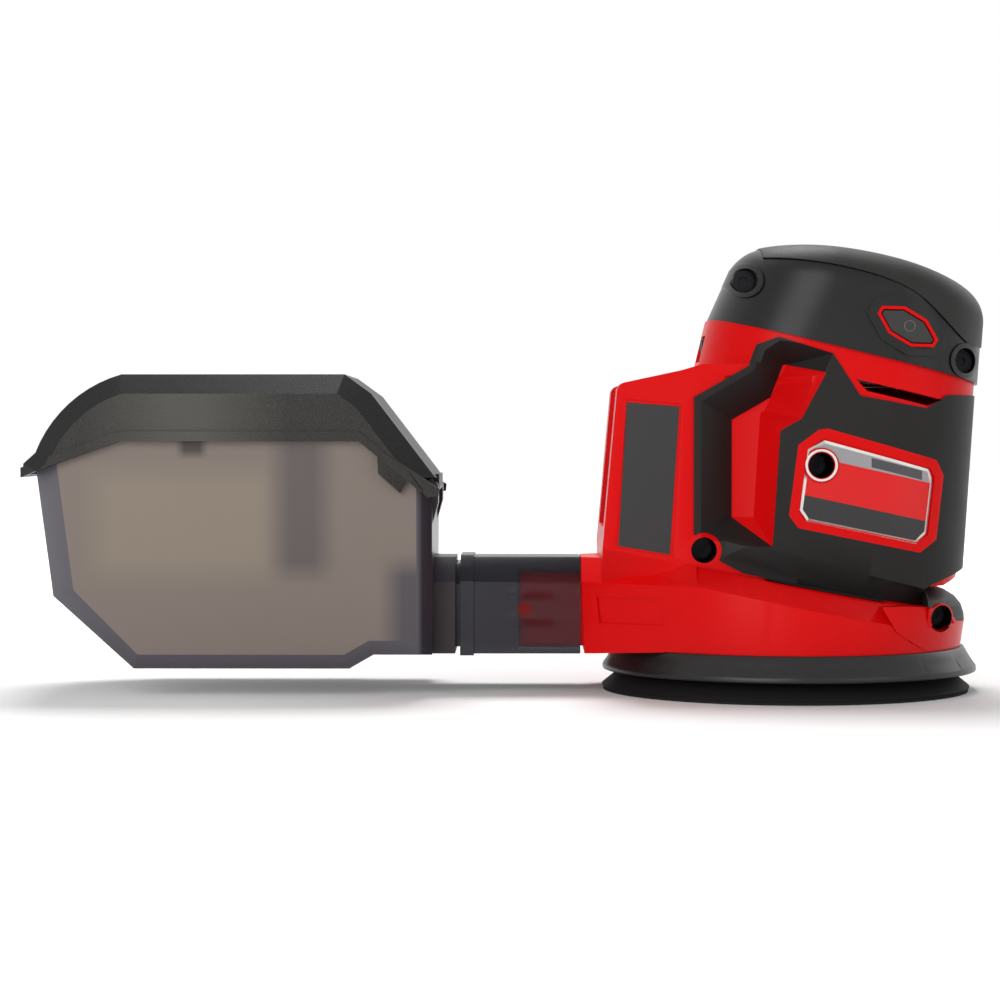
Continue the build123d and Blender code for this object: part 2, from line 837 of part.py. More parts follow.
def bezel_outline(grow=0.0):
    """Stretched octagon of the switch bezel, drawn level about its own centre."""
    length, height = bezel_half_length, bezel_half_height
    end, flat = bezel_end_half_height, bezel_flat_half_length
    points = [
        (-length, -end), (-flat, -height), (flat, -height), (length, -end),
        (length, end), (flat, height), (-flat, height), (-length, end),
    ]
    return grown_outline(points, grow)


def switch_prism(grow, y0, y1):
    """The bezel's tilted outline carried across the tool between y0 and y1."""
    face = make_face(Polyline(*bezel_outline(grow), close=True))
    placed = Pos(switch_x, y1, switch_z) * (Plane.XZ * (Rot(0, 0, switch_tilt) * face))
    return extrude(placed, amount=y1 - y0)


def cap_half(side):
    """One half of the dark cap."""
    region = palm_region()
    body = cap_form() + (switch_prism(switch_border_width, -far, far) & cap_form(switch_border_proud))
    body -= cap_form(-cap_wall)
    rim = screw_rim_proud if side < 0 else -cap_wall / 2
    for place in (cap_rear_screw_at, cap_front_screw_at):
        body += screw_boss(place, side) & cap_form(rim)
    body = body & above_seam()
    body -= region - cap_form(-palm_depth - running_clearance)
    body = half(body, side)
    for place in (cap_rear_screw_at, cap_front_screw_at):
        body -= screw_well(place)
    body -= switch_prism(0.0, -far, far)
    return body.solids().sort_by(SortBy.VOLUME)[-1]


def palm_pad_solid():
    pad = cap_form(palm_proud) - cap_form(-palm_depth)
    pad = pad & palm_region()
    return pad.solids().sort_by(SortBy.VOLUME)[-1]


# ---------------------------------------------------------------- switch, dial, electronics

def cap_side_y(z):
    share = (z - cap_low_z) / (cap_high_z - cap_low_z)
    return cap_half_width_low + share * (cap_half_width_high - cap_half_width_low)


def switch_bezel(side):
    """Frame round the switch button, set through the cap's side."""
    face_y = cap_side_y(switch_z) + bezel_proud
    y0, y1 = (face_y - bezel_depth, face_y) if side > 0 else (-face_y, bezel_depth - face_y)
    return switch_prism(0.0, y0, y1) - switch_prism(-bezel_rim, -far, far)


def switch_bar():
    """The push-through bar: a button at each end, the right-hand one pushed in (off)."""
    face_y = cap_side_y(switch_z) + bezel_proud - button_recess
    slim = -bezel_rim - body_gap
    right = switch_prism(slim, -face_y, -face_y + button_depth)
    left = switch_prism(slim, face_y + switch_travel - button_depth, face_y + switch_travel)
    s = switch_bar_size
    rod = block(switch_x - s / 2, switch_x + s / 2, -face_y + button_depth - 1,
                face_y + switch_travel - button_depth + 1, switch_z - s / 2, switch_z + s / 2)
    return right + left + rod


def switch_body():
    low = board_z + board_thickness
    high = switch_z - switch_bar_size / 2 - body_gap
    half_length, half_width = switch_body_length / 2, switch_body_width / 2
    return block(switch_x - half_length, switch_x + half_length, -half_width, half_width, low, high)


def control_board():
    board = block(board_rear_x, board_front_x, -board_half_width, board_half_width,
                  board_z, board_z + board_thickness)
    corners = [(x, y) for x in (board_rear_x, board_front_x) for y in (-board_half_width, board_half_width)]
    for x, y in corners:
        board -= Pos(x, y, board_z) * Rot(0, 0, 45) * Box(15, 15, 15)
    return board


def dial_pot():
    x = dial_axis_x()
    low = board_z + board_thickness
    case = block(x - 7.5, x + 7.5, -8, 8, low, dial_z - body_gap)
    return case + drum(x, 0, dial_shaft_diameter / 2, dial_z - 1, dial_z + dial_height - 1.5)


def speed_dial():
    """Thumb wheel with finger notches round its rim."""
    wheel = drum(dial_axis_x(), 0, dial_radius, dial_z, dial_z + dial_height)
    wheel = chamfer(wheel.edges(), 0.6)
    for i in range(dial_notch_count):
        angle = 2 * pi * i / dial_notch_count
        x = dial_axis_x() + dial_radius * cos(angle)
        y = dial_radius * sin(angle)
        wheel -= drum(x, y, dial_notch_radius, dial_z - 1, dial_z + dial_height + 1)
    return wheel - drum(dial_axis_x(), 0, dial_shaft_diameter / 2 + running_clearance, dial_z - 1,
                        dial_z + dial_height - 1.4)


def terminal_block():
    base = foot_layer(foot_lip + 1.0, foot_depth, 22.0, foot_floor_z, foot_floor_z + 6)
    for y in terminal_places():
        base -= foot_layer(foot_lip + 3.0, foot_depth - 2.0, far, foot_floor_z + 2, foot_floor_z + 6) & block(
            -far, far, y - terminal_thickness / 2, y + terminal_thickness / 2, 0, far)
    return base


def terminal_places():
    first = -terminal_pitch * (terminal_count - 1) / 2
    return [first + terminal_pitch * i for i in range(terminal_count)]


def terminal_blades():
    """The contact blades that stand up from the terminal block."""
    plates = []
    for y in terminal_places():
        blade = foot_layer(foot_lip + 3.0, foot_depth - 2.0, far, foot_floor_z + 2,
                           foot_floor_z + terminal_block_height)
        plates.append(blade & block(-far, far, y - terminal_thickness / 2, y + terminal_thickness / 2, 0, far))
    return Compound(children=[plate.solid() for plate in plates])


# ---------------------------------------------------------------- motor

def ring(x, outer, inner, low, high):
    return drum(x, 0, outer, low, high) - drum(x, 0, inner, low - 1, high + 1)


def bearing(x, bore, outer, low, width):
    """A shielded ball bearing, with the shields set back between the races."""
    body = ring(x, outer / 2, bore / 2, low, low + width)
    race = (outer - bore) / 2 * 0.28
    for z in (low, low + width):
        body -= ring(x, outer / 2 - race, bore / 2 + race, z - 0.4, z + 0.4)
    return body


def motor_frame():
    """Steel can open at the stator, with the upper bearing's seat in its top."""
    radius = motor_diameter / 2
    body = drum(drive_x, 0, radius, motor_bottom, motor_top)
    body -= drum(drive_x, 0, radius - motor_frame_wall, motor_bottom + motor_frame_wall,
                 motor_top - motor_frame_wall)
    body += drum(drive_x, 0, upper_bearing_outer / 2 + 2, upper_bearing_bottom, motor_top)
    body -= drum(drive_x, 0, upper_bearing_outer / 2, upper_bearing_bottom - 1, upper_bearing_top)
    body -= drum(drive_x, 0, shaft_diameter / 2 + 2, motor_bottom - 1, motor_bottom + motor_frame_wall + 1)
    for i in range(6):
        angle = 60 * i + 30
        vent = Rot(0, 0, angle) * (Pos(radius * 0.68, 0, motor_bottom) * Box(8, 7, 3 * motor_frame_wall))
        body -= Pos(drive_x, 0, 0) * vent
    return body


def stator_slots():
    slots = []
    outer = motor_diameter / 2 - motor_frame_wall - 3.0
    inner = rotor_diameter / 2 + air_gap + 1.6
    for i in range(stator_tooth_count):
        angle = 360 / stator_tooth_count * (i + 0.5)
        slots.append(Rot(0, 0, angle) * (Pos((outer + inner) / 2, 0, (stack_bottom + stack_top) / 2)
                                         * Box(outer - inner, 6.0, stator_stack_height + 2)))
    return slots


def stator_core():
    core = ring(0, motor_diameter / 2 - motor_frame_wall - running_clearance, rotor_diameter / 2 + air_gap, stack_bottom, stack_top)
    for slot in stator_slots():
        core -= slot
    return Pos(drive_x, 0, 0) * core


def stator_windings():
    """One coil round each stator tooth."""
    outer = motor_diameter / 2 - motor_frame_wall - 3.3
    inner = rotor_diameter / 2 + air_gap + 2.2
    core = stator_core()
    coils = []
    for i in range(stator_tooth_count):
        angle = 360 / stator_tooth_count * i
        middle_z = (stack_bottom + stack_top) / 2
        coil = Pos((outer + inner) / 2, 0, middle_z) * Box(outer - inner, 8.0, stator_stack_height + 5.0)
        tooth = Pos((outer + inner) / 2, 0, middle_z) * Box(outer, 4.8, stator_stack_height + 0.4)
        wound = Rot(0, 0, angle) * (coil - tooth)
        coils.append((Pos(drive_x, 0, 0) * wound - core).solid())
    return Compound(children=coils)


def motor_shaft():
    """Shaft from the fan's hub up through both bearings."""
    r = shaft_diameter / 2
    low = fan_disc_bottom + 0.6
    neck = upper_bearing_bottom - 0.5
    body = drum(drive_x, 0, r, low, neck)
    return body + drum(drive_x, 0, upper_journal_diameter / 2, neck - 1, upper_bearing_top - 0.5)


def fan():
    """Dust fan: disc, swept blades, the off-centre pocket for the pad bearing and the hub."""
    disc = drum(drive_x, 0, fan_radius, fan_disc_bottom, fan_disc_top)
    pocket_outer_radius = pad_bearing_outer / 2 + eccentric_wall
    body = disc + drum(0, 0, pocket_outer_radius, bearing_bottom, fan_disc_bottom + 0.5)
    hub_top = lower_bearing_bottom - bearing_lip - body_gap
    body += drum(drive_x, 0, fan_hub_diameter / 2, fan_disc_top - 0.5, hub_top)
    blade_length = fan_radius - pocket_outer_radius + 2.0
    for i in range(fan_blade_count):
        angle = 360 / fan_blade_count * i
        blade = Pos(fan_radius - blade_length / 2 - 1.6, 0, fan_disc_bottom - fan_blade_height / 2 + 0.5) * (
            Rot(0, 0, fan_blade_sweep) * Box(blade_length, fan_blade_thickness, fan_blade_height))
        body += Pos(drive_x, 0, 0) * Rot(0, 0, angle) * blade
    body -= drum(0, 0, pad_bearing_outer / 2, bearing_bottom - fan_blade_height, pocket_top)
    return body - drum(drive_x, 0, shaft_diameter / 2, fan_disc_bottom + 0.6, far)


def counterweight():
    """Steel sector that balances the off-centre pad."""
    body = ring(0, counterweight_radius, fan_hub_diameter / 2 + fit_clearance, fan_disc_top,
                fan_disc_top + counterweight_height)
    start = -counterweight_angle / 2
    reach = counterweight_radius * 3
    wedge_points = [(0, 0)] + [
        (reach * cos(radians(start + counterweight_angle * i / 4)),
         reach * sin(radians(start + counterweight_angle * i / 4))) for i in range(5)]
    wedge = extrude(make_face(Polyline(*wedge_points, close=True)), amount=far)
    return Pos(drive_x, 0, 0) * (body & wedge)


# ---------------------------------------------------------------- pad

def dust_holes(low, high):
    holes = []
    for i in range(dust_hole_count):
        angle = 2 * pi * (i + 0.5) / dust_hole_count
        x = dust_hole_circle / 2 * cos(angle)
        y = dust_hole_circle / 2 * sin(angle)
        holes.append(drum(x, y, dust_hole_diameter / 2, low, high))
    return holes


def pad_screw_well():
    return pad_screw_head_diameter / 2 + 3.5


def hook_face():
    body = ring(0, pad_radius - 0.4, pad_screw_well(), 0, hook_thickness)
    for hole in dust_holes(-1, hook_thickness + 1):
        body -= hole
    return body


def pad_foam():
    """Foam layer with a square rim below and a sloped edge above it."""
    rim_z = hook_thickness + foam_rim_height
    body = turned([
        (pad_screw_well(), hook_thickness), (pad_radius, hook_thickness), (pad_radius, rim_z),
        (pad_radius - foam_rim_step, rim_z + 1.6), (pad_radius - 2 * foam_rim_step, foam_top),
        (pad_screw_well(), foam_top),
    ])
    for hole in dust_holes(0, foam_top + 1):
        body -= hole
    return body


def pad_backing():
    """Stiff backing plate with its hub and radial ribs."""
    body = drum(0, 0, backing_diameter / 2, foam_top, backing_top - 1.0)
    body += drum(0, 0, pad_hub_diameter / 2, foam_top, spindle_bottom)
    body += ring(0, backing_diameter / 2, backing_diameter / 2 - 2.0, foam_top, backing_top)
    for i in range(dust_hole_count):
        rib = Pos(backing_diameter / 4, 0, (foam_top + backing_top) / 2) * Box(
            backing_diameter / 2 - 2.0, 2.0, backing_thickness)
        body += Rot(0, 0, 360 / dust_hole_count * i) * rib
    for hole in dust_holes(0, backing_top + 1):
        body -= hole
    return body - drum(0, 0, pad_screw_diameter / 2 + fit_clearance, 0, far)


def pad_spindle():
    """Stub that runs in the off-centre bearing and takes the pad screw."""
    body = drum(0, 0, spindle_flange_diameter / 2, spindle_bottom, spindle_bottom + spindle_flange_thickness)
    body += drum(0, 0, pad_bearing_bore / 2 - running_clearance, spindle_bottom, bearing_top - 0.2)
    return body - drum(0, 0, pad_screw_diameter / 2, spindle_bottom - 1, bearing_top - 1.8)


def pad_washer():
    return ring(0, pad_washer_diameter / 2, pad_screw_diameter / 2 + fit_clearance,
                foam_top - pad_washer_thickness, foam_top)


def pad_screw():
    head_top = foam_top - pad_washer_thickness
    head = drum(0, 0, pad_screw_head_diameter / 2, head_top - pad_screw_head_height, head_top)
    head = chamfer(head.edges().sort_by(Axis.Z)[0], 0.8)
    shank = drum(0, 0, pad_screw_diameter / 2, head_top - 0.5, bearing_top - 3.0)
    socket = Pos(0, 0, head_top - pad_screw_head_height) * extrude(RegularPolygon(3.0, 6), amount=1.8)
    return head + shank - socket


# ---------------------------------------------------------------- skirt

def brake_skirt():
    """Shroud under the base: flange, locating spigot and flared wall."""
    flange_bottom = base_bottom - skirt_flange_thickness
    spigot_outer = fan_chamber_radius - fit_clearance
    spigot_inner = spigot_outer - skirt_wall
    inner_top = skirt_top_radius - skirt_wall + skirt_slant() * skirt_flange_thickness
    return turned([
        (spigot_inner, base_bottom + skirt_spigot_height), (spigot_outer, base_bottom + skirt_spigot_height),
        (spigot_outer, base_bottom), (skirt_top_radius, base_bottom),
        (skirt_bottom_radius, skirt_bottom_z + skirt_rim_height), (skirt_bottom_radius, skirt_bottom_z),
        (skirt_bottom_radius - skirt_wall, skirt_bottom_z),
        (skirt_bottom_radius - skirt_wall, skirt_bottom_z + skirt_rim_height - 0.4),
        (inner_top, flange_bottom), (spigot_inner, flange_bottom),
    ], drive_x)


# ---------------------------------------------------------------- shell screws

def shell_screw(place):
    head_y = -screw_seat_y
    head = cross_rod(*place, shell_screw_head_diameter / 2, head_y - shell_screw_head_height, head_y)
    shank = cross_rod(*place, shell_screw_diameter / 2, head_y - 0.5, head_y + shell_screw_length)
    socket = cross_rod(*place, 1.6, head_y - shell_screw_head_height - 1, head_y - shell_screw_head_height + 1.5)
    return head + shank - socket


def screw_group(places):
    return Compound(children=[shell_screw(place).solid() for place in places])


# ---------------------------------------------------------------- sleeve

def coupling_sleeve():
    """Clear sleeve over the port, with a spring tongue each side and the canister collar."""
    start = duct_end_x - 0.3
    body = duct_run(sleeve_end_x, start)
    body += duct_run(collar_end_x, sleeve_end_x, collar_proud)
    plug_end = collar_end_x - collar_groove - 6.0
    body += duct_run(plug_end, collar_end_x, -canister_wall - 0.2)
    body -= duct_run(sleeve_end_x - 1, start + 1, -sleeve_wall)
    body -= duct_run(plug_end - 1, sleeve_end_x, -canister_wall - 0.2 - sleeve_wall)
    slot_x0 = spigot_end_x - 2.5
    for z in (snap_z - snap_width / 2, snap_z + snap_width / 2):
        body -= block(slot_x0, slot_x0 + snap_length, -far, far, z - snap_slot / 2, z + snap_slot / 2)
    return body


# ---------------------------------------------------------------- canister

def canister_outline():
    lean = (canister_left_top_x - canister_left_low_x) / (rim_left_z - canister_knee_z)
    high = lid_top_z
    return [
        (canister_right_x, canister_neck_bottom_z),
        (canister_right_x, high),
        (canister_left_low_x + lean * (high - canister_knee_z), high),
        (canister_left_low_x, canister_knee_z),
        (canister_bottom_left_x, canister_bottom_z),
        (canister_step_x, canister_bottom_z),
        (canister_step_x + canister_step_run, canister_neck_bottom_z),
    ]


def boxed_form(outline, half_width, edge):
    """A side outline carried across, with its two long rims bevelled."""
    body = side_prism(outline, half_width)
    rims = body.edges().filter_by(lambda e: abs(abs(e.center().Y) - half_width) < 0.01)
    return chamfer(rims, edge)


def canister_form(grow=0.0):
    return boxed_form(grown_outline(canister_outline(), grow), canister_half_width + grow, canister_edge)


def rim_line(lift=0.0):
    """The joint between canister and lid in the side view, left to right."""
    left_slope = (rim_top_z - rim_left_z) / (rim_shoulder_x - canister_left_top_x)
    right_slope = (rim_right_z - rim_top_z) / (canister_right_x - 2.5 - rim_right_x)
    return [
        (canister_left_top_x - 40, rim_left_z - 40 * left_slope + lift),
        (rim_shoulder_x, rim_top_z + lift),
        (rim_right_x, rim_top_z + lift),
        (rim_right_x + 60, rim_top_z + 60 * right_slope + lift),
    ]


def above_rim(lift=0.0):
    line = rim_line(lift)
    return side_prism(line + [(line[-1][0], far), (line[0][0], far)])


def hinge_spans():
    """Where the canister's two hinge lugs lie across the tool."""
    outer = hinge_lug_half_span
    return [(outer - hinge_lug_width, outer), (-outer, hinge_lug_width - outer)]


def canister_body():
    body = canister_form() - canister_form(-canister_wall)
    body -= above_rim()
    body += duct_run(canister_right_x - 1, neck_end_x)
    body -= duct_run(canister_right_x - 5, neck_end_x + 1, -canister_wall)
    for side in (-1, 1):
        inner_y = canister_half_width - canister_wall
        y0, y1 = sorted((side * (filter_half_width - 2.5), side * (inner_y + 0.5)))
        body += block(filter_left_x, filter_right_x, y0, y1, filter_bottom_z - ledge_thickness, filter_bottom_z)
    for i in range(louvre_count):
        z = filter_bottom_z + 4 + louvre_pitch * i
        body -= block(canister_left_top_x - 10, filter_left_x - 1, -22, 22, z, z + louvre_height)
    for y0, y1 in hinge_spans():
        lug = cross_rod(hinge_x, hinge_z, hinge_knuckle_radius, y0, y1)
        web = block(canister_right_x - 1.0, hinge_x + hinge_knuckle_radius, y0, y1,
                    hinge_z - 12, hinge_z) - side_prism([
                        (canister_right_x, hinge_z - 12), (canister_right_x + 9, hinge_z - 3),
                        (canister_right_x + 9, hinge_z - 13)])
        body += lug + web
    body -= cross_rod(hinge_x, hinge_z, hinge_pin_radius, -far, far)
    inner = hinge_lug_half_span - hinge_lug_width + body_gap
    return body - cross_rod(hinge_x, hinge_z, hinge_knuckle_radius + 0.5, -inner, inner)


def lid_outline():
    return [
        (lid_left_x, rim_left_z - 20), (lid_left_x, lid_left_z), (lid_left_x + 5.0, lid_left_z + 6.8),
        (lid_top_left_x - 6.0, lid_top_z - 2.0), (lid_top_left_x, lid_top_z), (lid_top_right_x, lid_top_z),
        (lid_top_right_x + 8.8, lid_top_z - 6.4), (canister_right_x, rim_right_z + 0.2),
        (canister_right_x, rim_left_z - 20),
    ]


def lid_form(grow=0.0):
    return boxed_form(grown_outline(lid_outline(), grow), lid_half_width + grow, lid_edge)


def canister_lid():
    """Lid over the canister, with a skirt outside its rim, a finger lip and the hinge knuckle."""
    roof = (lid_form() - lid_form(-lid_wall)) & above_rim(body_gap)
    skirt = (lid_form() & above_rim(-lid_overlap)) - above_rim(body_gap) - canister_form(0.8)
    skirt -= block(canister_right_x - 5.0, far, -far, far, 0, far)
    body = roof + skirt
    lip_z = rim_left_z - 1.0
    body += block(lid_left_x - lid_lip_length, lid_left_x + 0.8, -12, 12, lip_z, lip_z + 2.4)
    inner = hinge_lug_half_span - hinge_lug_width - body_gap
    knuckle = cross_rod(hinge_x, hinge_z, hinge_knuckle_radius, -inner, inner)
    web = block(hinge_x - 6.5, hinge_x, -inner, inner, hinge_z - 0.6, hinge_z + 2.4)
    body += knuckle + (web - canister_form(0.0) + (web & above_rim(body_gap)))
    for y0, y1 in hinge_spans():
        body -= cross_rod(hinge_x, hinge_z, hinge_knuckle_radius + 0.5, y0 - body_gap, y1 + body_gap)
        body -= block(hinge_x - hinge_knuckle_radius, far, y0 - body_gap, y1 + body_gap, 0, hinge_z)
    body -= cross_rod(hinge_x, hinge_z, hinge_pin_radius + running_clearance, -far, far)
    swing = side_prism([(hinge_x, hinge_z), (hinge_x, 0), (canister_right_x - canister_wall, 0),
                        (canister_right_x - canister_wall, hinge_z - hinge_knuckle_radius)])
    body -= swing - cross_rod(hinge_x, hinge_z, hinge_knuckle_radius, -far, far)
    return body.solids().sort_by(SortBy.VOLUME)[-1]


def hinge_pin():
    return cross_rod(hinge_x, hinge_z, hinge_pin_radius, -hinge_lug_half_span + 1, hinge_lug_half_span - 1)


def filter_frame():
    outer = block(filter_left_x, filter_right_x, -filter_half_width, filter_half_width, filter_bottom_z, filter_top_z)
    w = filter_frame_wall
    inner = block(filter_left_x + w, filter_right_x - w, -filter_half_width + w, filter_half_width - w, 0, far)
    grid = block(filter_left_x, filter_right_x, -w / 2, w / 2, filter_bottom_z, filter_bottom_z + w)
    return outer - inner + grid


def filter_pleats():
    """Pleated paper held inside the frame."""
    w = filter_frame_wall + 0.1
    x0, x1 = filter_left_x + w, filter_right_x - w
    low, high = filter_bottom_z + filter_frame_wall + 3.5, filter_top_z - 2.0
    step = (x1 - x0) / (2 * pleat_count)
    rise = pleat_thickness * hypot(step, high - low) / step
    top = [(x0 + step * i, high if i % 2 else low + rise) for i in range(2 * pleat_count + 1)]
    bottom = [(x, z - rise) for x, z in reversed(top)]
    return side_prism(top + bottom, filter_half_width - w)


# ---------------------------------------------------------------- build

def build_parts():
    grip_left = grip_solid(1)
    grip_right = grip_solid(-1)
    places = (rear_screw_at, middle_screw_at, front_screw_at)
    cap_places = (cap_rear_screw_at, cap_front_screw_at)
    return {
        "housing_left": housing_half(1, grip_left),
        "housing_right": housing_half(-1, grip_right),
        "grip_left": grip_left,
        "grip_right": grip_right,
        "cap_left": cap_half(1),
        "cap_right": cap_half(-1),
        "palm_pad": palm_pad_solid(),
        "switch_bezel_left": switch_bezel(1),
        "switch_bezel_right": switch_bezel(-1),
        "switch_bar": switch_bar(),
        "switch_body": switch_body(),
        "control_board": control_board(),
        "dial_pot": dial_pot(),
        "speed_dial": speed_dial(),
        "terminal_block": terminal_block(),
        "terminal_blades": terminal_blades(),
        "motor_frame": motor_frame(),
        "stator_core": stator_core(),
        "stator_windings": stator_windings(),
        "motor_shaft": motor_shaft(),
        "rotor_core": ring(drive_x, rotor_diameter / 2 - magnet_thickness, shaft_diameter / 2, stack_bottom, stack_top),
        "rotor_magnet": ring(drive_x, rotor_diameter / 2, rotor_diameter / 2 - magnet_thickness,
                             stack_bottom, stack_top),
        "lower_bearing": bearing(drive_x, shaft_diameter + 2 * running_clearance, lower_bearing_outer,
                                 lower_bearing_bottom, lower_bearing_width),
        "upper_bearing": bearing(drive_x, upper_journal_diameter + 2 * running_clearance, upper_bearing_outer,
                                 upper_bearing_bottom, upper_bearing_width),
        "fan": fan(),
        "counterweight": counterweight(),
        "pad_bearing": bearing(0, pad_bearing_bore, pad_bearing_outer, bearing_bottom, pad_bearing_width),
        "pad_spindle": pad_spindle(),
        "pad_screw": pad_screw(),
        "pad_washer": pad_washer(),
        "pad_backing": pad_backing(),
        "pad_foam": pad_foam(),
        "hook_face": hook_face(),
        "brake_skirt": brake_skirt(),
        "housing_screws": screw_group(places),
        "cap_screws": screw_group(cap_places),
        "coupling_sleeve": coupling_sleeve(),
        "canister_body": canister_body(),
        "canister_lid": canister_lid(),
        "lid_hinge_pin": hinge_pin(),
        "filter_frame": filter_frame(),
        "filter_pleats": filter_pleats(),
    }


for name, solid in build_parts().items():
    export_step(solid, f"parts/{name}.step")
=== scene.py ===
import json
import math

import bpy
from mathutils import Euler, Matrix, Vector


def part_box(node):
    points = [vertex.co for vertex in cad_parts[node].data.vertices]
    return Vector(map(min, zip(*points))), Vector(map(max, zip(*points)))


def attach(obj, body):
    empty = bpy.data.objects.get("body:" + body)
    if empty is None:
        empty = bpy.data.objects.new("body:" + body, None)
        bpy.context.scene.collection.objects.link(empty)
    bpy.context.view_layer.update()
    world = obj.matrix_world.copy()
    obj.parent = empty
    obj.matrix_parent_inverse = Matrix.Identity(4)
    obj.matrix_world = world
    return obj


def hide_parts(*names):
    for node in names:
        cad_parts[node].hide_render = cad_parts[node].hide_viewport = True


bl_info = {
    "name": "Orbital sander",
    "version": (1, 0, 0),
    "blender": (4, 5, 0),
    "location": "3D View > Sidebar > Sander",
    "description": "Finishes and fittings of a cordless random-orbit sander with its dust canister",
    "category": "Object",
}

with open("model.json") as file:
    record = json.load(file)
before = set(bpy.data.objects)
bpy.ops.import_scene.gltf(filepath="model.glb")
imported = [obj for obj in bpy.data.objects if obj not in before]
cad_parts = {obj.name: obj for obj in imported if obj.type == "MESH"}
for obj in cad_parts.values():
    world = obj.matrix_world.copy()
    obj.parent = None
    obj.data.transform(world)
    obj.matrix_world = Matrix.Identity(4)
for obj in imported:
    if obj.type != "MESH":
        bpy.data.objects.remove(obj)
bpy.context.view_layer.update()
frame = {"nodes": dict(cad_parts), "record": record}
MM = 0.001


def corners_of(node):
    """The lowest and highest corners of a CAD node, in millimetres."""
    return [[round(value / MM, 1) for value in corner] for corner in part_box(node)]


def middle_of(node):
    """The middle of a CAD node's box, in millimetres."""
    low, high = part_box(node)
    return [round(value / MM / 2, 1) for value in low + high]


# Further than any part of the tool reaches, mm; a place on the drive's axis; facets of a lathe.
FAR = 400.0
DRIVE = (middle_of("brake_skirt")[0], 0.0, 0.0)
LATHE_STEPS = 128


# ---------------------------------------------------------------- shader building

class Wire:
    """A node socket that can be used in arithmetic."""

    def __init__(self, tree, socket):
        self.tree = tree
        self.socket = socket

    def math(self, operation, other=None, swap=False):
        node = self.tree.nodes.new("ShaderNodeMath")
        node.operation = operation
        first, second = (other, self) if swap else (self, other)
        for index, value in enumerate((first, second)):
            if isinstance(value, Wire):
                self.tree.links.new(value.socket, node.inputs[index])
            elif value is not None:
                node.inputs[index].default_value = value
        return Wire(self.tree, node.outputs[0])

    def __add__(self, other):
        return self.math("ADD", other)

    __radd__ = __add__

    def __sub__(self, other):
        return self.math("SUBTRACT", other)

    def __rsub__(self, other):
        return self.math("SUBTRACT", other, swap=True)

    def __mul__(self, other):
        return self.math("MULTIPLY", other)

    __rmul__ = __mul__

    def __truediv__(self, other):
        return self.math("DIVIDE", other)

    def bounded(self):
        """The value, kept between zero and one."""
        node = self.tree.nodes.new("ShaderNodeClamp")
        self.tree.links.new(self.socket, node.inputs[0])
        return Wire(self.tree, node.outputs[0])


class Finish:
    """A node material under construction, with a Principled shader ready to use."""

    def __init__(self, name):
        self.material = bpy.data.materials.new(name)
        self.material.use_nodes = True
        self.tree = self.material.node_tree
        self.tree.nodes.clear()
        output = self.tree.nodes.new("ShaderNodeOutputMaterial")
        self.shader = self.tree.nodes.new("ShaderNodeBsdfPrincipled")
        self.tree.links.new(self.shader.outputs[0], output.inputs["Surface"])

    @classmethod
    def of(cls, material):
        """A finished material, opened again."""
        finish = cls.__new__(cls)
        finish.material, finish.tree = material, material.node_tree
        finish.shader = next(node for node in finish.tree.nodes
                             if node.type == "BSDF_PRINCIPLED")
        return finish

    def node(self, kind, settings=None, out=0, **sockets):
        """Any node: its type, its settings, then values or wires for its sockets."""
        node = self.tree.nodes.new(kind)
        for key, value in (settings or {}).items():
            setattr(node, key, value)
        for key, value in sockets.items():
            socket = node.inputs[key.replace("_", " ")]
            if isinstance(value, Wire):
                self.tree.links.new(value.socket, socket)
            else:
                socket.default_value = value
        return Wire(self.tree, node.outputs[out])

    def set(self, **sockets):
        """Constants and wires for the Principled shader's own sockets."""
        for key, value in sockets.items():
            socket = self.shader.inputs[key.replace("_", " ")]
            if isinstance(value, Wire):
                self.tree.links.new(value.socket, socket)
            else:
                socket.default_value = value
        return self

    def place(self):
        return self.node("ShaderNodeTexCoord", out="Object")

    def split(self, vector, axis="Y"):
        """One component of a vector."""
        return self.node("ShaderNodeSeparateXYZ", out=axis, Vector=vector)

    def noise(self, scale, detail=2.0, roughness=0.5):
        return self.node("ShaderNodeTexNoise", out="Fac", Vector=self.place(), Scale=scale,
                         Detail=detail, Roughness=roughness)

    def tint(self, low, high, amount):
        """A colour between two, by a wire."""
        node = self.tree.nodes.new("ShaderNodeMix")
        node.data_type = "RGBA"
        self.tree.links.new(amount.socket, node.inputs[0])
        for index, value in ((6, low), (7, high)):
            if isinstance(value, Wire):
                self.tree.links.new(value.socket, node.inputs[index])
            else:
                node.inputs[index].default_value = (*value, 1.0)
        return Wire(self.tree, node.outputs[2])

    def bump(self, height, strength, distance):
        return self.node("ShaderNodeBump", out="Normal", Height=height, Strength=strength,
                         Distance=distance)


def linear(red, green, blue):
    """An 8-bit display colour as the linear values that shaders take."""
    return tuple((c / 255 / 12.92) if c <= 10 else (((c / 255) + 0.055) / 1.055) ** 2.4
                 for c in (red, green, blue))


def shade(colour, factor):
    """A colour made lighter or darker."""
    return tuple(min(1.0, channel * factor) for channel in colour)


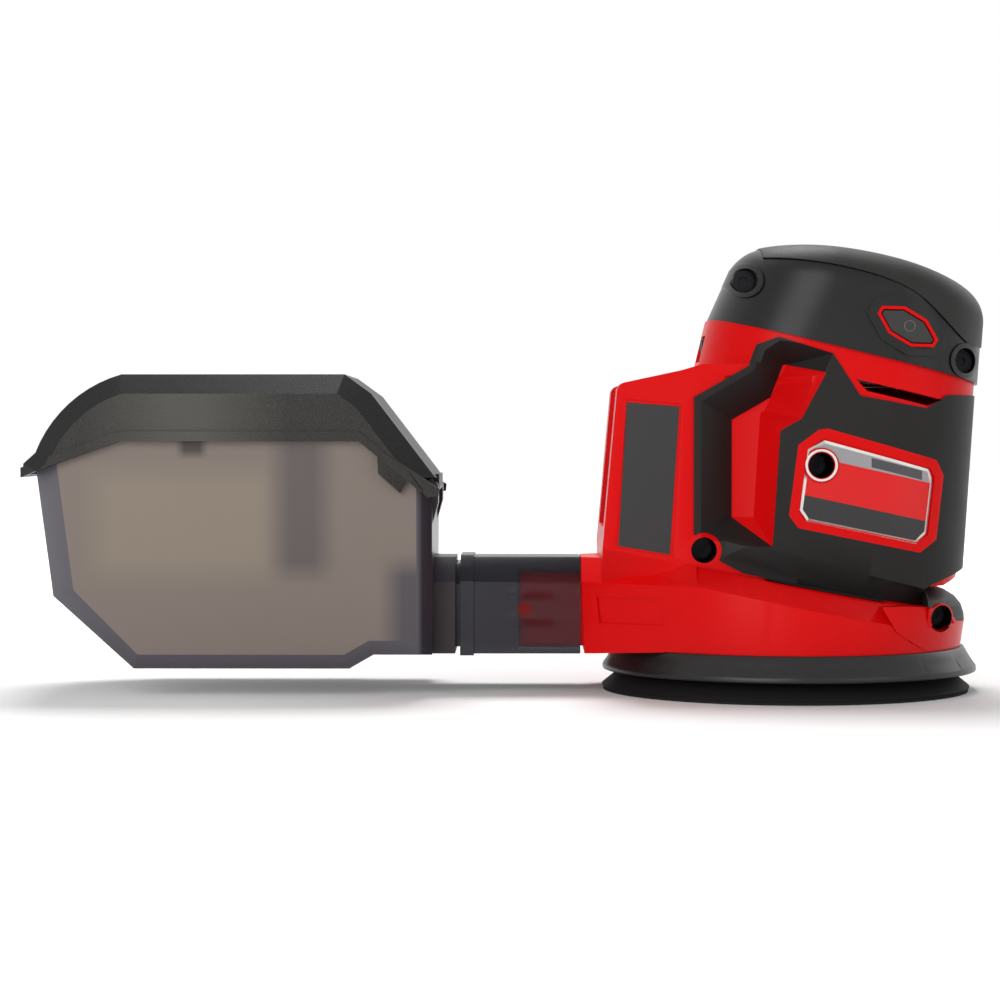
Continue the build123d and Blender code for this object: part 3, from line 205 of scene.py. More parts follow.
def moulded(name, colour, roughness, grain_scale, grain_height, spread=0.08, gloss=0.3,
            speckle=0.0):
    """Spark-textured plastic or rubber: fine grain of a height in metres, a faint drift of
    tone (spread), specular level (gloss) and bright grains (speckle)."""
    finish = Finish(name)
    drift = finish.noise(14.0, 3.0)
    grain = finish.noise(grain_scale, 2.0, 0.6)
    body = finish.tint(shade(colour, 1 - spread), shade(colour, 1 + spread), drift)
    if speckle:
        sparks = ((finish.noise(2400.0, 1.0, 0.4) - 0.56) * 9.0).bounded() * speckle
        body = finish.tint(body, shade(colour, 6.0), sparks)
    dullness = roughness - 0.05 + 0.1 * finish.noise(60.0, 2.0)
    finish.set(Base_Color=body, Roughness=dullness.bounded(), Specular_IOR_Level=gloss,
               Normal=finish.bump(grain, 0.35, grain_height))
    return finish.material


def smoked(name, face, edge, roughness, transmission, patches):
    """Smoke-tinted frosted plastic: side faces warm, other faces painted cooler and darker as
    shade, and patches with the soft tones of what lies behind."""
    finish = Finish(name)
    side = finish.split(finish.node("ShaderNodeTexCoord", out="Normal")).math("ABSOLUTE")
    flat = ((side - 0.9) * 12.0).bounded()
    # Painted shade: faces other than the broad sides take the darker, cooler edge colour.
    colour = finish.tint(edge, face, flat)
    spot = finish.place()
    along, up = finish.split(spot, "X"), finish.split(spot, "Z")
    for left, right, low, high, blur, tone, faces_only in patches:
        inside = within(along, left, right, blur) * within(up, low, high, blur)
        colour = finish.tint(colour, tone, inside * flat if faces_only else inside)
    cloudy = finish.tint(shade(face, 0.8), face, finish.noise(11.0, 3.0))
    colour = finish.tint(colour, cloudy, flat * 0.15)
    dullness = roughness - 0.03 + 0.06 * finish.noise(40.0)
    finish.set(Base_Color=colour, Roughness=dullness.bounded(),
               Transmission_Weight=transmission, IOR=1.2, Specular_IOR_Level=0.35,
               Normal=finish.bump(finish.noise(2600.0), 0.2, 0.00004))
    return finish.material


def within(value, low, high, blur):
    """One between two heights or lengths in millimetres, with soft ends."""
    rise = ((value - (low - blur) * MM) / (2 * blur * MM)).bounded()
    return rise * (((high + blur) * MM - value) / (2 * blur * MM)).bounded()


def metal(name, colour, roughness, lay=500.0):
    """Bare or plated metal with a fine lay."""
    finish = Finish(name)
    finish.set(Base_Color=finish.tint(shade(colour, 0.85), colour, finish.noise(200.0)),
               Metallic=1.0, Roughness=(roughness + 0.12 * finish.noise(lay)).bounded())
    return finish.material


# ---------------------------------------------------------------- mesh building

def deselect():
    if bpy.context.object and bpy.context.object.mode != "OBJECT":
        bpy.ops.object.mode_set(mode="OBJECT")
    bpy.ops.object.select_all(action="DESELECT")


def activate(piece):
    deselect()
    piece.select_set(True)
    bpy.context.view_layer.objects.active = piece


def apply_modifier(piece, kind, **settings):
    activate(piece)
    modifier = piece.modifiers.new(kind.title(), kind)
    for key, value in settings.items():
        setattr(modifier, key, value)
    bpy.ops.object.modifier_apply(modifier=modifier.name)


def smooth(piece, angle):
    activate(piece)
    bpy.ops.object.shade_smooth_by_angle(angle=math.radians(angle))


def wear(piece, body, material):
    """Gives a piece its one material and the body that it rides on."""
    piece.data.materials.clear()
    piece.data.materials.append(material)
    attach(piece, body)
    return piece


def twin(node, name):
    """A welded copy of a CAD solid, its flat faces joined."""
    source = frame["nodes"][node]
    piece = bpy.data.objects.new(name, source.data.copy())
    bpy.context.scene.collection.objects.link(piece)
    activate(piece)
    bpy.ops.object.mode_set(mode="EDIT")
    bpy.ops.mesh.select_all(action="SELECT")
    bpy.ops.mesh.remove_doubles(threshold=2e-6)
    bpy.ops.mesh.select_all(action="SELECT")
    bpy.ops.mesh.dissolve_limited(angle_limit=math.radians(0.4))
    bpy.ops.object.mode_set(mode="OBJECT")
    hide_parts(node)
    return piece


def soften(piece, edge, angle=17):
    """Rounds the sharp edges and smooths the rest."""
    if edge:
        apply_modifier(piece, "BEVEL", width=edge * MM, segments=2,
                       limit_method="ANGLE", angle_limit=math.radians(angle + 4),
                       use_clamp_overlap=True, loop_slide=False)
    smooth(piece, angle)
    return piece


def push(piece, chosen, move=(0, 0, 0), grow=(1, 1, 1), centre=(0, 0, 0)):
    """Moves or scales, in edit mode, the corners that a test on (x, y, z) in millimetres picks."""
    activate(piece)
    for vertex in piece.data.vertices:
        vertex.select = chosen(*(vertex.co / MM))
    for part in (*piece.data.edges, *piece.data.polygons):
        part.select = all(piece.data.vertices[i].select for i in part.vertices)
    bpy.ops.object.mode_set(mode="EDIT")
    bpy.ops.mesh.select_mode(type="VERT")
    if grow != (1, 1, 1):
        bpy.ops.transform.resize(value=grow, center_override=Vector(centre) * MM)
    if move != (0, 0, 0):
        bpy.ops.transform.translate(value=Vector(move) * MM)
    bpy.ops.object.mode_set(mode="OBJECT")
    return piece


def sheet(name, points, level=0.0, plan=False):
    """A flat face with its corners in millimetres: (x, z) in the side plane, or (x, y) in plan."""
    deselect()
    bpy.ops.mesh.primitive_circle_add(vertices=len(points), radius=MM, fill_type="NGON")
    piece = bpy.context.object
    piece.name = name
    for vertex, (x, other) in zip(piece.data.vertices, points):
        vertex.co = Vector((x, other, level) if plan else (x, level, other)) * MM
    return piece


def face_out(piece):
    """Turns all faces outwards."""
    activate(piece)
    bpy.ops.object.mode_set(mode="EDIT")
    bpy.ops.mesh.select_all(action="SELECT")
    bpy.ops.mesh.normals_make_consistent(inside=False)
    bpy.ops.mesh.select_all(action="DESELECT")
    bpy.ops.object.mode_set(mode="OBJECT")


def slab(name, points, low, high, taper=0.0, plan=False):
    """An outline drawn out between two levels, its two ends bevelled by taper."""
    piece = sheet(name, points, low + taper, plan)
    activate(piece)
    reach = (high - low - 2 * taper) * MM
    bpy.ops.object.mode_set(mode="EDIT")
    bpy.ops.mesh.select_all(action="SELECT")
    bpy.ops.mesh.extrude_region_move(
        TRANSFORM_OT_translate={"value": (0, 0, reach) if plan else (0, reach, 0)})
    bpy.ops.object.mode_set(mode="OBJECT")
    face_out(piece)
    if taper:
        context = bpy.context
        context.tool_settings.mesh_select_mode = (False, False, True)
        for face in piece.data.polygons:
            face.select = abs(face.normal.y) > 0.9
        bpy.ops.object.mode_set(mode="EDIT")
        bpy.ops.mesh.inset(thickness=taper * MM, depth=taper * MM, use_individual=True)
        bpy.ops.mesh.select_all(action="DESELECT")
        bpy.ops.object.mode_set(mode="OBJECT")
        context.tool_settings.mesh_select_mode = (True, False, False)
    return piece


def lathe(name, profile):
    """A closed outline of (radius, height) in millimetres, spun about the drive's axis."""
    piece = sheet(name, [(DRIVE[0] + radius, height) for radius, height in profile])
    activate(piece)
    bpy.ops.object.mode_set(mode="EDIT")
    bpy.ops.mesh.select_all(action="SELECT")
    bpy.ops.mesh.delete(type="ONLY_FACE")
    bpy.ops.mesh.select_all(action="SELECT")
    bpy.ops.mesh.spin(steps=LATHE_STEPS, angle=2 * math.pi, center=Vector(DRIVE) * MM,
                      axis=(0, 0, 1))
    bpy.ops.mesh.select_all(action="SELECT")
    bpy.ops.mesh.remove_doubles(threshold=1e-6)
    bpy.ops.object.mode_set(mode="OBJECT")
    face_out(piece)
    return piece


def carve(piece, tool, operation="DIFFERENCE"):
    """Cuts, joins or trims a piece with a tool body, which is then removed."""
    apply_modifier(piece, "BOOLEAN", object=tool, operation=operation, solver="EXACT")
    bpy.data.objects.remove(tool)
    return piece


def rod(name, x, z, radius, low, high, sides=32):
    """A round bar across the tool."""
    deselect()
    bpy.ops.mesh.primitive_cylinder_add(
        vertices=sides, radius=radius * MM, depth=(high - low) * MM,
        location=Vector((x, (low + high) / 2, z)) * MM, rotation=(math.radians(90), 0, 0))
    piece = bpy.context.object
    piece.name = name
    bpy.ops.object.transform_apply(location=True, rotation=True, scale=True)
    return piece


def grown(points, step):
    """A closed outline moved outwards by a step, corner by corner."""
    area = sum(a[0] * b[1] - b[0] * a[1] for a, b in zip(points, points[1:] + points[:1]))
    side = 1 if area > 0 else -1
    result = []
    for before, here, after in zip(points[-1:] + points[:-1], points, points[1:] + points[:1]):
        first = Vector((here[0] - before[0], here[1] - before[1])).normalized()
        second = Vector((after[0] - here[0], after[1] - here[1])).normalized()
        outward = (Vector((first.y, -first.x)) + Vector((second.y, -second.x))) * side
        reach = step / max(0.2, outward.length_squared / 2)
        result.append((here[0] + outward.x * reach, here[1] + outward.y * reach))
    return result


# ---------------------------------------------------------------- settings

class SanderColours(bpy.types.PropertyGroup):
    red: bpy.props.FloatVectorProperty(
        name="Housing red", description="Colour of the moulded shells", subtype="COLOR",
        size=3, min=0.0, max=1.0, default=linear(214, 10, 12))
    grip: bpy.props.FloatVectorProperty(
        name="Grip", description="Colour of the overmoulded grips", subtype="COLOR",
        size=3, min=0.0, max=1.0, default=linear(20, 18, 17))
    cap: bpy.props.FloatVectorProperty(
        name="Cap", description="Colour of the cap", subtype="COLOR",
        size=3, min=0.0, max=1.0, default=linear(14, 13, 12))
    smoke: bpy.props.FloatVectorProperty(
        name="Smoke", description="Colour of the canister's smoky walls", subtype="COLOR",
        size=3, min=0.0, max=1.0, default=linear(136, 125, 117))


class SanderLid(bpy.types.PropertyGroup):
    half_width: bpy.props.FloatProperty(
        name="Half width", description="Half of the lid's width across the tool, mm",
        default=43.4)
    edge: bpy.props.FloatProperty(
        name="Edge", description="Bevel along the top of the lid, mm", default=6.5)
    wall: bpy.props.FloatProperty(
        name="Wall", description="Thickness of the lid, mm", default=1.8)
    flange: bpy.props.FloatProperty(
        name="Flange", description="How far the lower rim stands out, mm", default=0.8)
    overlap: bpy.props.FloatProperty(
        name="Overlap", description="How far the lid reaches below the canister's rim, mm",
        default=3.0)


class SanderView(bpy.types.PropertyGroup):
    distance: bpy.props.FloatProperty(
        name="Camera distance", description="From the camera to the tool's middle plane",
        unit="LENGTH", default=0.930)
    side: bpy.props.FloatProperty(
        name="Camera side", description="Camera place along the tool", unit="LENGTH",
        default=-0.0892)
    height: bpy.props.FloatProperty(
        name="Camera height", description="Camera height over the floor", unit="LENGTH",
        default=0.086)
    lens: bpy.props.FloatProperty(
        name="Lens", description="Focal length on a 36 mm sensor", default=97.8)


# ---------------------------------------------------------------- shells and grips
# Outlines are corners in millimetres: (x, z) in the side plane, (x, y) in plan, and
# (radius, z) for what is spun about the drive's axis.

SHELLS = {
    "housing_left": "tool", "housing_right": "tool", "grip_left": "tool", "grip_right": "tool",
    "cap_left": "tool", "cap_right": "tool", "palm_pad": "tool",
}
# The shell screws' wells, and the red ring left round the front one.
WELLS = ((-30.1, 48.8), (8.1, 76.7), (48.0, 26.5))
WELL_RADIUS = 4.25
WELL_WALL = 0.5
FRONT_BOSS = (*WELLS[2], WELL_RADIUS + WELL_WALL)
BOSS_SIDES = 48
# How sharply the painted shade down the wells ends.
WELL_SHARPNESS = 30000.0
# The undercut below the window's ledge, in plan, and the notch above the bumper.
LEDGE = [(-24, -60), (-24, -38.6), (-12, -33.5), (-5.5, -29.4), (0, -33.8), (5, -38.3),
         (8, -60)]
LEDGE_LEVELS = (103.4, 106.1)
NOTCH_SHELL = [(47.2, 35.7), (49.8, 36.5), (64, 42.2), (70, 42.2), (70, 31.5), (47.2, 31.5)]
NOTCH_GRIP = [(45.2, 37.3), (53, 40.0), (60, 42.4), (70, 42.4), (70, 15), (42.8, 15),
              (42.8, 36.0)]
# The dark bumper and the red band under it: profiles, then outlines from the side.
BUMPER = [(40, 20), (59.4, 24.5), (59.3, 26.5), (58.3, 29.6), (56.2, 32.2), (52.6, 34.4),
          (48, 35.9), (43, 36.9), (38, 37.2)]
BUMPER_FOOT = [(42.4, 30.5), (45.0, 30.0), (51.5, 28.5), (54.0, 25.2), (57, 24.5), (90, 24.5)]
BUMPER_TOP = 36.6
BUMPER_REACH = 60
BUMPER_ROOM = [(39, 20), (70, 20), (70, 60), (39, 60)]
NOSE = [(46, 15.6), (58.2, 15.6), (59.5, 24.45), (59.2, 31), (46, 31)]
NOSE_SIDE = [(26.0, 31.6), (31.5, 22.5), (44.0, 15.0), (90, 15.0), (90, 24.4), (57, 24.4),
             (54.0, 25.1), (51.5, 28.4), (45.0, 29.9), (42.3, 30.4)]
# The base's lower edge is lifted, and the lower wall round the drive is drawn in.
FOOT_TOP, FOOT_REAR, FOOT_LIFT = 14, -65, 1.8
WALL_TOP, WALL_RADIUS, WALL_SCALE = 24, 58.3, 0.985
SHELL_EDGE, BAND_EDGE = 0.6, 0.3


def above_foot(top):
    """The side outline of what lies between the bumper's lower edge and a height."""
    return [(BUMPER_FOOT[0][0], top), *BUMPER_FOOT, (BUMPER_FOOT[-1][0], top)]


class SANDER_OT_shells(bpy.types.Operator):
    """Red shells, dark grips, cap and palm pad"""
    bl_idname = "sander.shells"
    bl_label = "Shells and grips"

    def execute(self, context):
        colours = context.scene.sander_colours
        red = self.shell_finish(tuple(colours.red))
        grip = moulded("Grip rubber", tuple(colours.grip), 0.55, 1800.0, 0.00012, 0.08, 0.22)
        cap = moulded("Cap plastic", tuple(colours.cap), 0.36, 2000.0, 0.00008, 0.06, 0.26)
        palm = moulded("Palm rubber", shade(colours.cap, 1.6), 0.55, 1300.0, 0.00018, 0.1, 0.3)
        finishes = {"housing": red, "grip": grip, "cap": cap, "palm": palm}
        for node, body in SHELLS.items():
            piece = twin(node, node + "_shell")
            kind = node.split("_")[0]
            if kind == "housing":
                self.shape_housing(piece, -1 if node.endswith("left") else 1)
            if kind == "grip":
                carve(piece, slab("notch", NOTCH_GRIP, -FAR, FAR))
            wear(soften(piece, SHELL_EDGE), body, finishes[kind])
        self.front("nose", NOSE, NOSE_SIDE, red, "housing_red")
        self.front("bumper", BUMPER, above_foot(BUMPER_REACH), grip, "grip_rubber")
        return {"FINISHED"}

    def shape_housing(self, piece, side):
        """The undercut ledge, the front notch, the bumper's room and the base's lower wall."""
        ledge = [(x, y * side) for x, y in LEDGE]
        carve(piece, slab("ledge", ledge, *LEDGE_LEVELS, plan=True))
        carve(piece, slab("notch", NOTCH_SHELL, -FAR, FAR))
        carve(piece, self.bumper_room())
        push(piece, lambda x, y, z: z < FOOT_TOP and x > FOOT_REAR, move=(0, 0, FOOT_LIFT))
        push(piece, lambda x, y, z: z < WALL_TOP and math.hypot(x - DRIVE[0], y) > WALL_RADIUS,
             grow=(WALL_SCALE, WALL_SCALE, 1), centre=DRIVE)

    def bumper_room(self):
        """What the shells lose for the bumper, round the front screw's boss."""
        room = lathe("room", BUMPER_ROOM)
        carve(room, slab("side", above_foot(BUMPER_TOP), -FAR, FAR), "INTERSECT")
        return carve(room, rod("boss", *FRONT_BOSS, -FAR, FAR, BOSS_SIDES))

    def front(self, name, profile, outline, material, slot):
        """A band round the front of the base, open round the screw well."""
        band = lathe(name, profile)
        carve(band, slab("side", outline, -FAR, FAR), "INTERSECT")
        carve(band, rod("well", *FRONT_BOSS, -FAR, FAR, BOSS_SIDES))
        wear(soften(band, BAND_EDGE, 14), "tool", material)

    def shell_finish(self, colour):
        """The shells' red, with painted shade down the screw wells."""
        material = moulded("Housing red", colour, 0.34, 2200.0, 0.00005, 0.03, 0.1)
        finish = Finish.of(material)
        body = Wire(finish.tree, finish.shader.inputs["Base Color"].links[0].from_socket)
        spot = finish.place()
        x, z = finish.split(spot, "X"), finish.split(spot, "Z")
        # Painted shade: near-black within each well's radius, where the well lies in shadow.
        for well_x, well_z in WELLS:
            across, up = x - well_x * MM, z - well_z * MM
            distance = (across * across + up * up).math("SQRT")
            inside = ((WELL_RADIUS * MM - distance) * WELL_SHARPNESS).bounded()
            body = finish.tint(body, linear(16, 10, 10), inside)
        finish.set(Base_Color=body)
        return material


# ---------------------------------------------------------------- lid and canister

# The lid from the side, from its rear foot over the arc and the flat top to the hinge.
LID_LEFT = (-254.1, 77.2)
LID_TOP = 106.6
LID_HEAD = -221.6
LID_SHOULDER = -148.2
LID_CORNER = (-139.4, 100.2)
LID_RIGHT = (-116.8, 70.6)
LID_FOOT_RISE = (4.0, 3.6)
LID_BULGE = 3.2
LID_SKIRT = 20.0
LID_ARC_STEPS = 10
LID_STANDING = 0.2
LID_BESIDE = 0.3
LID_CHEEK = [(-134.0, 77.1), (-134.0, 80.4), (-118.4, 70.2), (-116.9, 69.2), (-117.1, 66.8),
             (-120.5, 66.1)]
LID_TAB = [(-137.2, 81.5), (-136.8, 74.0), (-129.6, 67.6), (-127.2, 72.4), (-128.5, 74.5)]
# Where painted light makes the lid's side faces lighter: from, to and blur in millimetres.
LID_LIT = (-219.0, -180.0, 14.0)
LIP_END = corners_of("canister_lid")[0][0]
LIP = [(LIP_END, 74.0), (LIP_END + 3.0, 74.0), (LIP_END + 3.0, 76.4), (LIP_END + 0.6, 76.4)]
LIP_HALF = 12.0
HINGE = tuple(middle_of("lid_hinge_pin")[::2])
HINGE_ROOM_REAR, HINGE_ROOM_RISE, HINGE_ROOM_FRONT = 5.5, 3.2, -100.0
CHEEK_ROOM_REAR, CHEEK_ROOM_DROP = 1.5, 3.2
KNUCKLE, KNUCKLE_HALF = 1.7, 20.6
WEB_REAR, WEB_FRONT, WEB_RISE = 1.4, 1.6, 1.0
# The canister's rim line, drawn out at both ends, and the lid's clearance round the walls.
RIM = ((-290.9, 62.8), (-221.5, 87.6), (-143.2, 87.6), (-83.2, 38.5))
FIT = 0.7
CANISTER_HALF = corners_of("canister_body")[1][1]


def arc_through(first, middle, last, steps):
    """Corners along the arc through three places in the side plane."""
    (ax, ay), (bx, by), (cx, cy) = first, middle, last
    d = 2 * (ax * (by - cy) + bx * (cy - ay) + cx * (ay - by))
    a, b, c = ax**2 + ay**2, bx**2 + by**2, cx**2 + cy**2
    ux = (a * (by - cy) + b * (cy - ay) + c * (ay - by)) / d
    uy = (a * (cx - bx) + b * (ax - cx) + c * (bx - ax)) / d
    radius = math.hypot(ax - ux, ay - uy)
    start, end = math.atan2(ay - uy, ax - ux), math.atan2(cy - uy, cx - ux)
    return [(ux + radius * math.cos(start + (end - start) * i / steps),
             uy + radius * math.sin(start + (end - start) * i / steps))
            for i in range(steps + 1)]


def lid_outline(step=0.0):
    """The lid's side outline, open below the rim, moved outwards by a step."""
    left_x, left_z = LID_LEFT
    foot, head = (left_x + LID_FOOT_RISE[0], left_z + LID_FOOT_RISE[1]), (LID_HEAD, LID_TOP)
    middle = ((foot[0] + head[0]) / 2 - LID_BULGE, (foot[1] + head[1]) / 2 + LID_BULGE)
    low = left_z - LID_SKIRT
    corners = [(left_x, low), (left_x, left_z), *arc_through(foot, middle, head, LID_ARC_STEPS),
               (LID_SHOULDER, LID_TOP), LID_CORNER, LID_RIGHT, (LID_RIGHT[0], low)]
    return grown(corners, step)


def rim(lift):
    """The canister's rim line, raised."""
    return [(x, z + lift) for x, z in RIM]


def rim_to(lift, level):
    """The side outline of all between the raised rim line and a level."""
    return rim(lift) + [(RIM[-1][0], level), (RIM[0][0], level)]


def room_below(rear, height):
    """The side outline of the hinge's room, from a place on the lid to beyond its front."""
    return [(rear, 0), (HINGE_ROOM_FRONT, 0), (HINGE_ROOM_FRONT, height), (rear, height)]


class SANDER_OT_lid(bpy.types.Operator):
    """Lid with its bevelled top, standing rim, finger lip and hinge knuckle"""
    bl_idname = "sander.lid"
    bl_label = "Lid"

    def execute(self, context):
        size = context.scene.sander_lid
        half, edge = size.half_width, size.edge
        outer, inner = half + size.flange, half - size.wall
        lid = slab("lid_shell", lid_outline(), -half, half, edge)
        carve(lid, slab("below", rim_to(-size.overlap, 0.0), -FAR, FAR))
        flange = slab("flange", lid_outline(size.flange), -outer, outer, edge)
        carve(flange, slab("below", rim_to(-size.overlap, 0.0), -FAR, FAR))
        carve(flange, slab("above", rim_to(LID_STANDING, FAR), -FAR, FAR))
        carve(lid, flange, "UNION")
        carve(lid, slab("room", lid_outline(-size.wall), -inner, inner, edge))
        self.add_hinge(lid)
        side = CANISTER_HALF + FIT
        for plate in (LID_CHEEK, LID_TAB):
            for low, high in ((-outer + LID_BESIDE, -side), (side, outer - LID_BESIDE)):
                carve(lid, slab("side_plate", plate, low, high), "UNION")
        carve(lid, slab("lip", LIP, -LIP_HALF, LIP_HALF), "UNION")
        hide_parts("canister_lid")
        wear(soften(lid, 0.5), "lid", self.finish())
        return {"FINISHED"}

    def add_hinge(self, lid):
        """Room for the canister's lugs, then the knuckle and the web that carries it."""
        side = CANISTER_HALF + FIT
        x, z = HINGE
        top = z + HINGE_ROOM_RISE
        carve(lid, slab("hinge_room", room_below(x - HINGE_ROOM_REAR, top), -side, side))
        cheek = LID_RIGHT[1] - CHEEK_ROOM_DROP
        carve(lid, slab("cheek", room_below(x - CHEEK_ROOM_REAR, cheek), -FAR, FAR))
        carve(lid, rod("knuckle", x, z, KNUCKLE, -KNUCKLE_HALF, KNUCKLE_HALF), "UNION")
        web = [(x - WEB_REAR, z), (x + WEB_FRONT, z), (x + WEB_FRONT, top + WEB_RISE),
               (x - WEB_REAR, top + WEB_RISE)]
        carve(lid, slab("web", web, -KNUCKLE_HALF, KNUCKLE_HALF), "UNION")

    def finish(self):
        """Smoky black with fine sparks as painted glints, and painted light and shade: side faces
        lighter than the bevels, most at the rear.
        """
        finish = Finish("Lid smoke")
        side = finish.split(finish.node("ShaderNodeTexCoord", out="Normal")).math("ABSOLUTE")
        flat = ((side - 0.88) * 12.0).bounded()
        along = finish.split(finish.place(), "X")
        # Painted light and shade: side faces lighter towards the rear, bevels and top near-black.
        lit = within(along, *LID_LIT)
        sides = finish.tint(linear(34, 33, 31), linear(72, 70, 65), lit)
        body = finish.tint(linear(8, 8, 8), sides, flat)
        # Painted glints: fine bright flecks, strongest on the lit side faces.
        sparks = ((finish.noise(2600.0, 1.0, 0.4) - 0.56) * 10.0).bounded()
        cloud = finish.noise(26.0, 3.0)
        painted_glint = sparks * (0.12 + 0.3 * cloud) * (0.3 + 0.7 * flat)
        body = finish.tint(body, linear(96, 94, 87), painted_glint)
        finish.set(Base_Color=body, Roughness=(0.36 + 0.12 * cloud).bounded(),
                   Specular_IOR_Level=0.2,
                   Normal=finish.bump(finish.noise(1900.0, 2.0, 0.6), 0.4, 0.00012))
        return finish.material


# Soft tones of what shows through a smoky wall: left, right, low and high in millimetres,
# blur, colour, and whether only the broad side faces take it.
CANISTER_TONES = (
    (-230.0, -172.0, 41.0, 74.0, 5.0, linear(148, 136, 122), True),
    (-170.0, -154.0, 41.0, 86.0, 4.0, linear(100, 94, 94), True),
    (-133.0, -117.0, 14.0, 44.0, 4.0, linear(84, 82, 88), True),
    (-202.0, -194.0, 80.0, 88.0, 1.5, linear(70, 66, 66), True),
    (-123.4, -90.0, 0.0, 80.0, 0.8, linear(52, 50, 56), False),
)
# The slits beside the sleeve's tongue, and where the port shows through the sleeve.
SLITS = (-95.2, -77.0)
SLIT_HEIGHTS = (32.8, 23.9)
SLIT_HALF = 1.6
SLIT_DEPTHS = (0.7, 1.3)
# The grooves that stand for the slits are painted dark as the shade inside open slits.
SLEEVE_TONES = (
    *((-89.6, -79.6, z - 1.2, z + 1.2, 0.5, linear(34, 30, 34), False) for z in SLIT_HEIGHTS),
    (-91.0, -87.2, 26.4, 30.6, 0.6, linear(128, 34, 32), True),
)
SPIGOT = (-91.0, -60.0)
SPIGOT_LEVELS = (15.6, 41.2)
# The rear wall: a place on it and its lean; its edges are made broad and it moves back.
REAR_X, REAR_Z, REAR_LEAN = -243.3, 33.3, 0.138
REAR_LOW, REAR_END, REAR_BACK = 25, -228, -1.9
EDGE_SIDE, EDGE_DEPTH, EDGE_MOVE = 37.5, 9, 3.5
FACE_SIDE, FACE_DEPTH, FACE_SCALE = 31, 3.5, 0.89
# The rim: its top, its two slopes, and how far it is raised behind the hinge.
RIM_TOP = corners_of("canister_body")[1][2]
RIM_REAR_END, RIM_REAR_SLOPE = (-249.0, 74.6), 0.39
RIM_FRONT_BEND, RIM_FRONT_SLOPE = -143.0, 0.87
RIM_LIFT, RIM_DEPTH, RIM_FRONT_END = 2.3, 0.8, -122
LUG_SIDES, LUG_LOW, LUG_SCALE = (19, 32), 50, (0.52, 1, 0.6)


def rear(z):
    """The rear wall's place at a height."""
    return REAR_X - REAR_LEAN * max(0.0, z - REAR_Z)


def rim_height(x):
    """The rim's height along the canister."""
    rear_part = RIM_REAR_END[1] + RIM_REAR_SLOPE * (x - RIM_REAR_END[0])
    front_part = RIM_TOP - RIM_FRONT_SLOPE * (x - RIM_FRONT_BEND)
    return min(RIM_TOP, rear_part, front_part)


class SANDER_OT_canister(bpy.types.Operator):
    """Smoky canister and its sleeve"""
    bl_idname = "sander.canister"
    bl_label = "Dust canister"

    def execute(self, context):
        smoke = tuple(context.scene.sander_colours.smoke)
        # The second colour is painted shade on the faces other than the broad sides.
        body = smoked("Canister smoke", smoke, linear(104, 101, 108), 0.30, 0.12,
                      CANISTER_TONES)
        sleeve = self.sleeve_finish()
        canister = twin("canister_body", "canister_shell")
        self.reshape(canister)
        wear(soften(canister, 0.6), "canister", body)
        cover = twin("coupling_sleeve", "sleeve_shell")
        self.close_slits(cover)
        wear(soften(cover, 0.5), "canister", sleeve)
        return {"FINISHED"}

    def sleeve_finish(self):
        """Dark smoke, clearer where the port lies behind it."""
        # Painted shade: faces other than the broad sides are darker, and the slit grooves are
        # painted dark.
        sleeve = smoked("Sleeve smoke", linear(58, 57, 62), linear(34, 34, 39), 0.22, 0.0,
                        SLEEVE_TONES)
        finish = Finish.of(sleeve)
        spot = finish.place()
        over_spigot = (within(finish.split(spot, "X"), *SPIGOT, 0.6)
                       * within(finish.split(spot, "Z"), *SPIGOT_LEVELS, 1.0))
        finish.set(Alpha=0.93 - 0.48 * over_spigot)
        return sleeve

    def close_slits(self, cover):
        """Turns the slits beside the sleeve's tongue into grooves."""
        face = min(vertex.co.y for vertex in cover.data.vertices) / MM
        left, right = SLITS
        for z in SLIT_HEIGHTS:
            low, high = z - SLIT_HALF, z + SLIT_HALF
            corners = [(left, low), (left, high), (right, high), (right, low)]
            levels = [face + depth for depth in SLIT_DEPTHS]
            carve(cover, slab("groove", corners, *levels), "UNION")

    def reshape(self, canister):
        """Broad edges at the rear end, a higher rim and slim hinge lugs."""
        push(canister, lambda x, y, z: (x < rear(z) + EDGE_DEPTH and abs(y) > EDGE_SIDE
                                        and z > REAR_LOW), move=(EDGE_MOVE, 0, 0))
        push(canister, lambda x, y, z: (x < rear(z) + FACE_DEPTH and z > REAR_LOW
                                        and FACE_SIDE < abs(y) < EDGE_SIDE),
             grow=(1, FACE_SCALE, 1))
        push(canister, lambda x, y, z: x < REAR_END and z > REAR_LOW, move=(REAR_BACK, 0, 0))
        push(canister, lambda x, y, z: z > rim_height(x) - RIM_DEPTH and x < RIM_FRONT_END,
             move=(0, 0, RIM_LIFT))
        x0, z0 = HINGE
        inside, outside = LUG_SIDES
        push(canister, lambda x, y, z: x > x0 - 0.2 and inside < abs(y) < outside and z > LUG_LOW,
             grow=LUG_SCALE, centre=(x0, 0, z0))


# ---------------------------------------------------------------- skirt and pad
# Rings to reshape: inner and outer radius, low and high level, lift and widening.

SKIRT_RINGS = ((60.5, 64, 4, 6.2, 1.5, 1.0), (60.5, 64, 7.1, 8.5, 0.7, 1.0))
PAD_RINGS = ((62, 63, 2.5, 3.5, -1.3, 1.0), (59, 59.6, 4.2, 5.2, 0.0, 0.993),
             (55.5, 56.6, 6.5, 7.5, 0.0, 1.02))
PAD_CENTRE = (0.0, 0.0, 0.0)


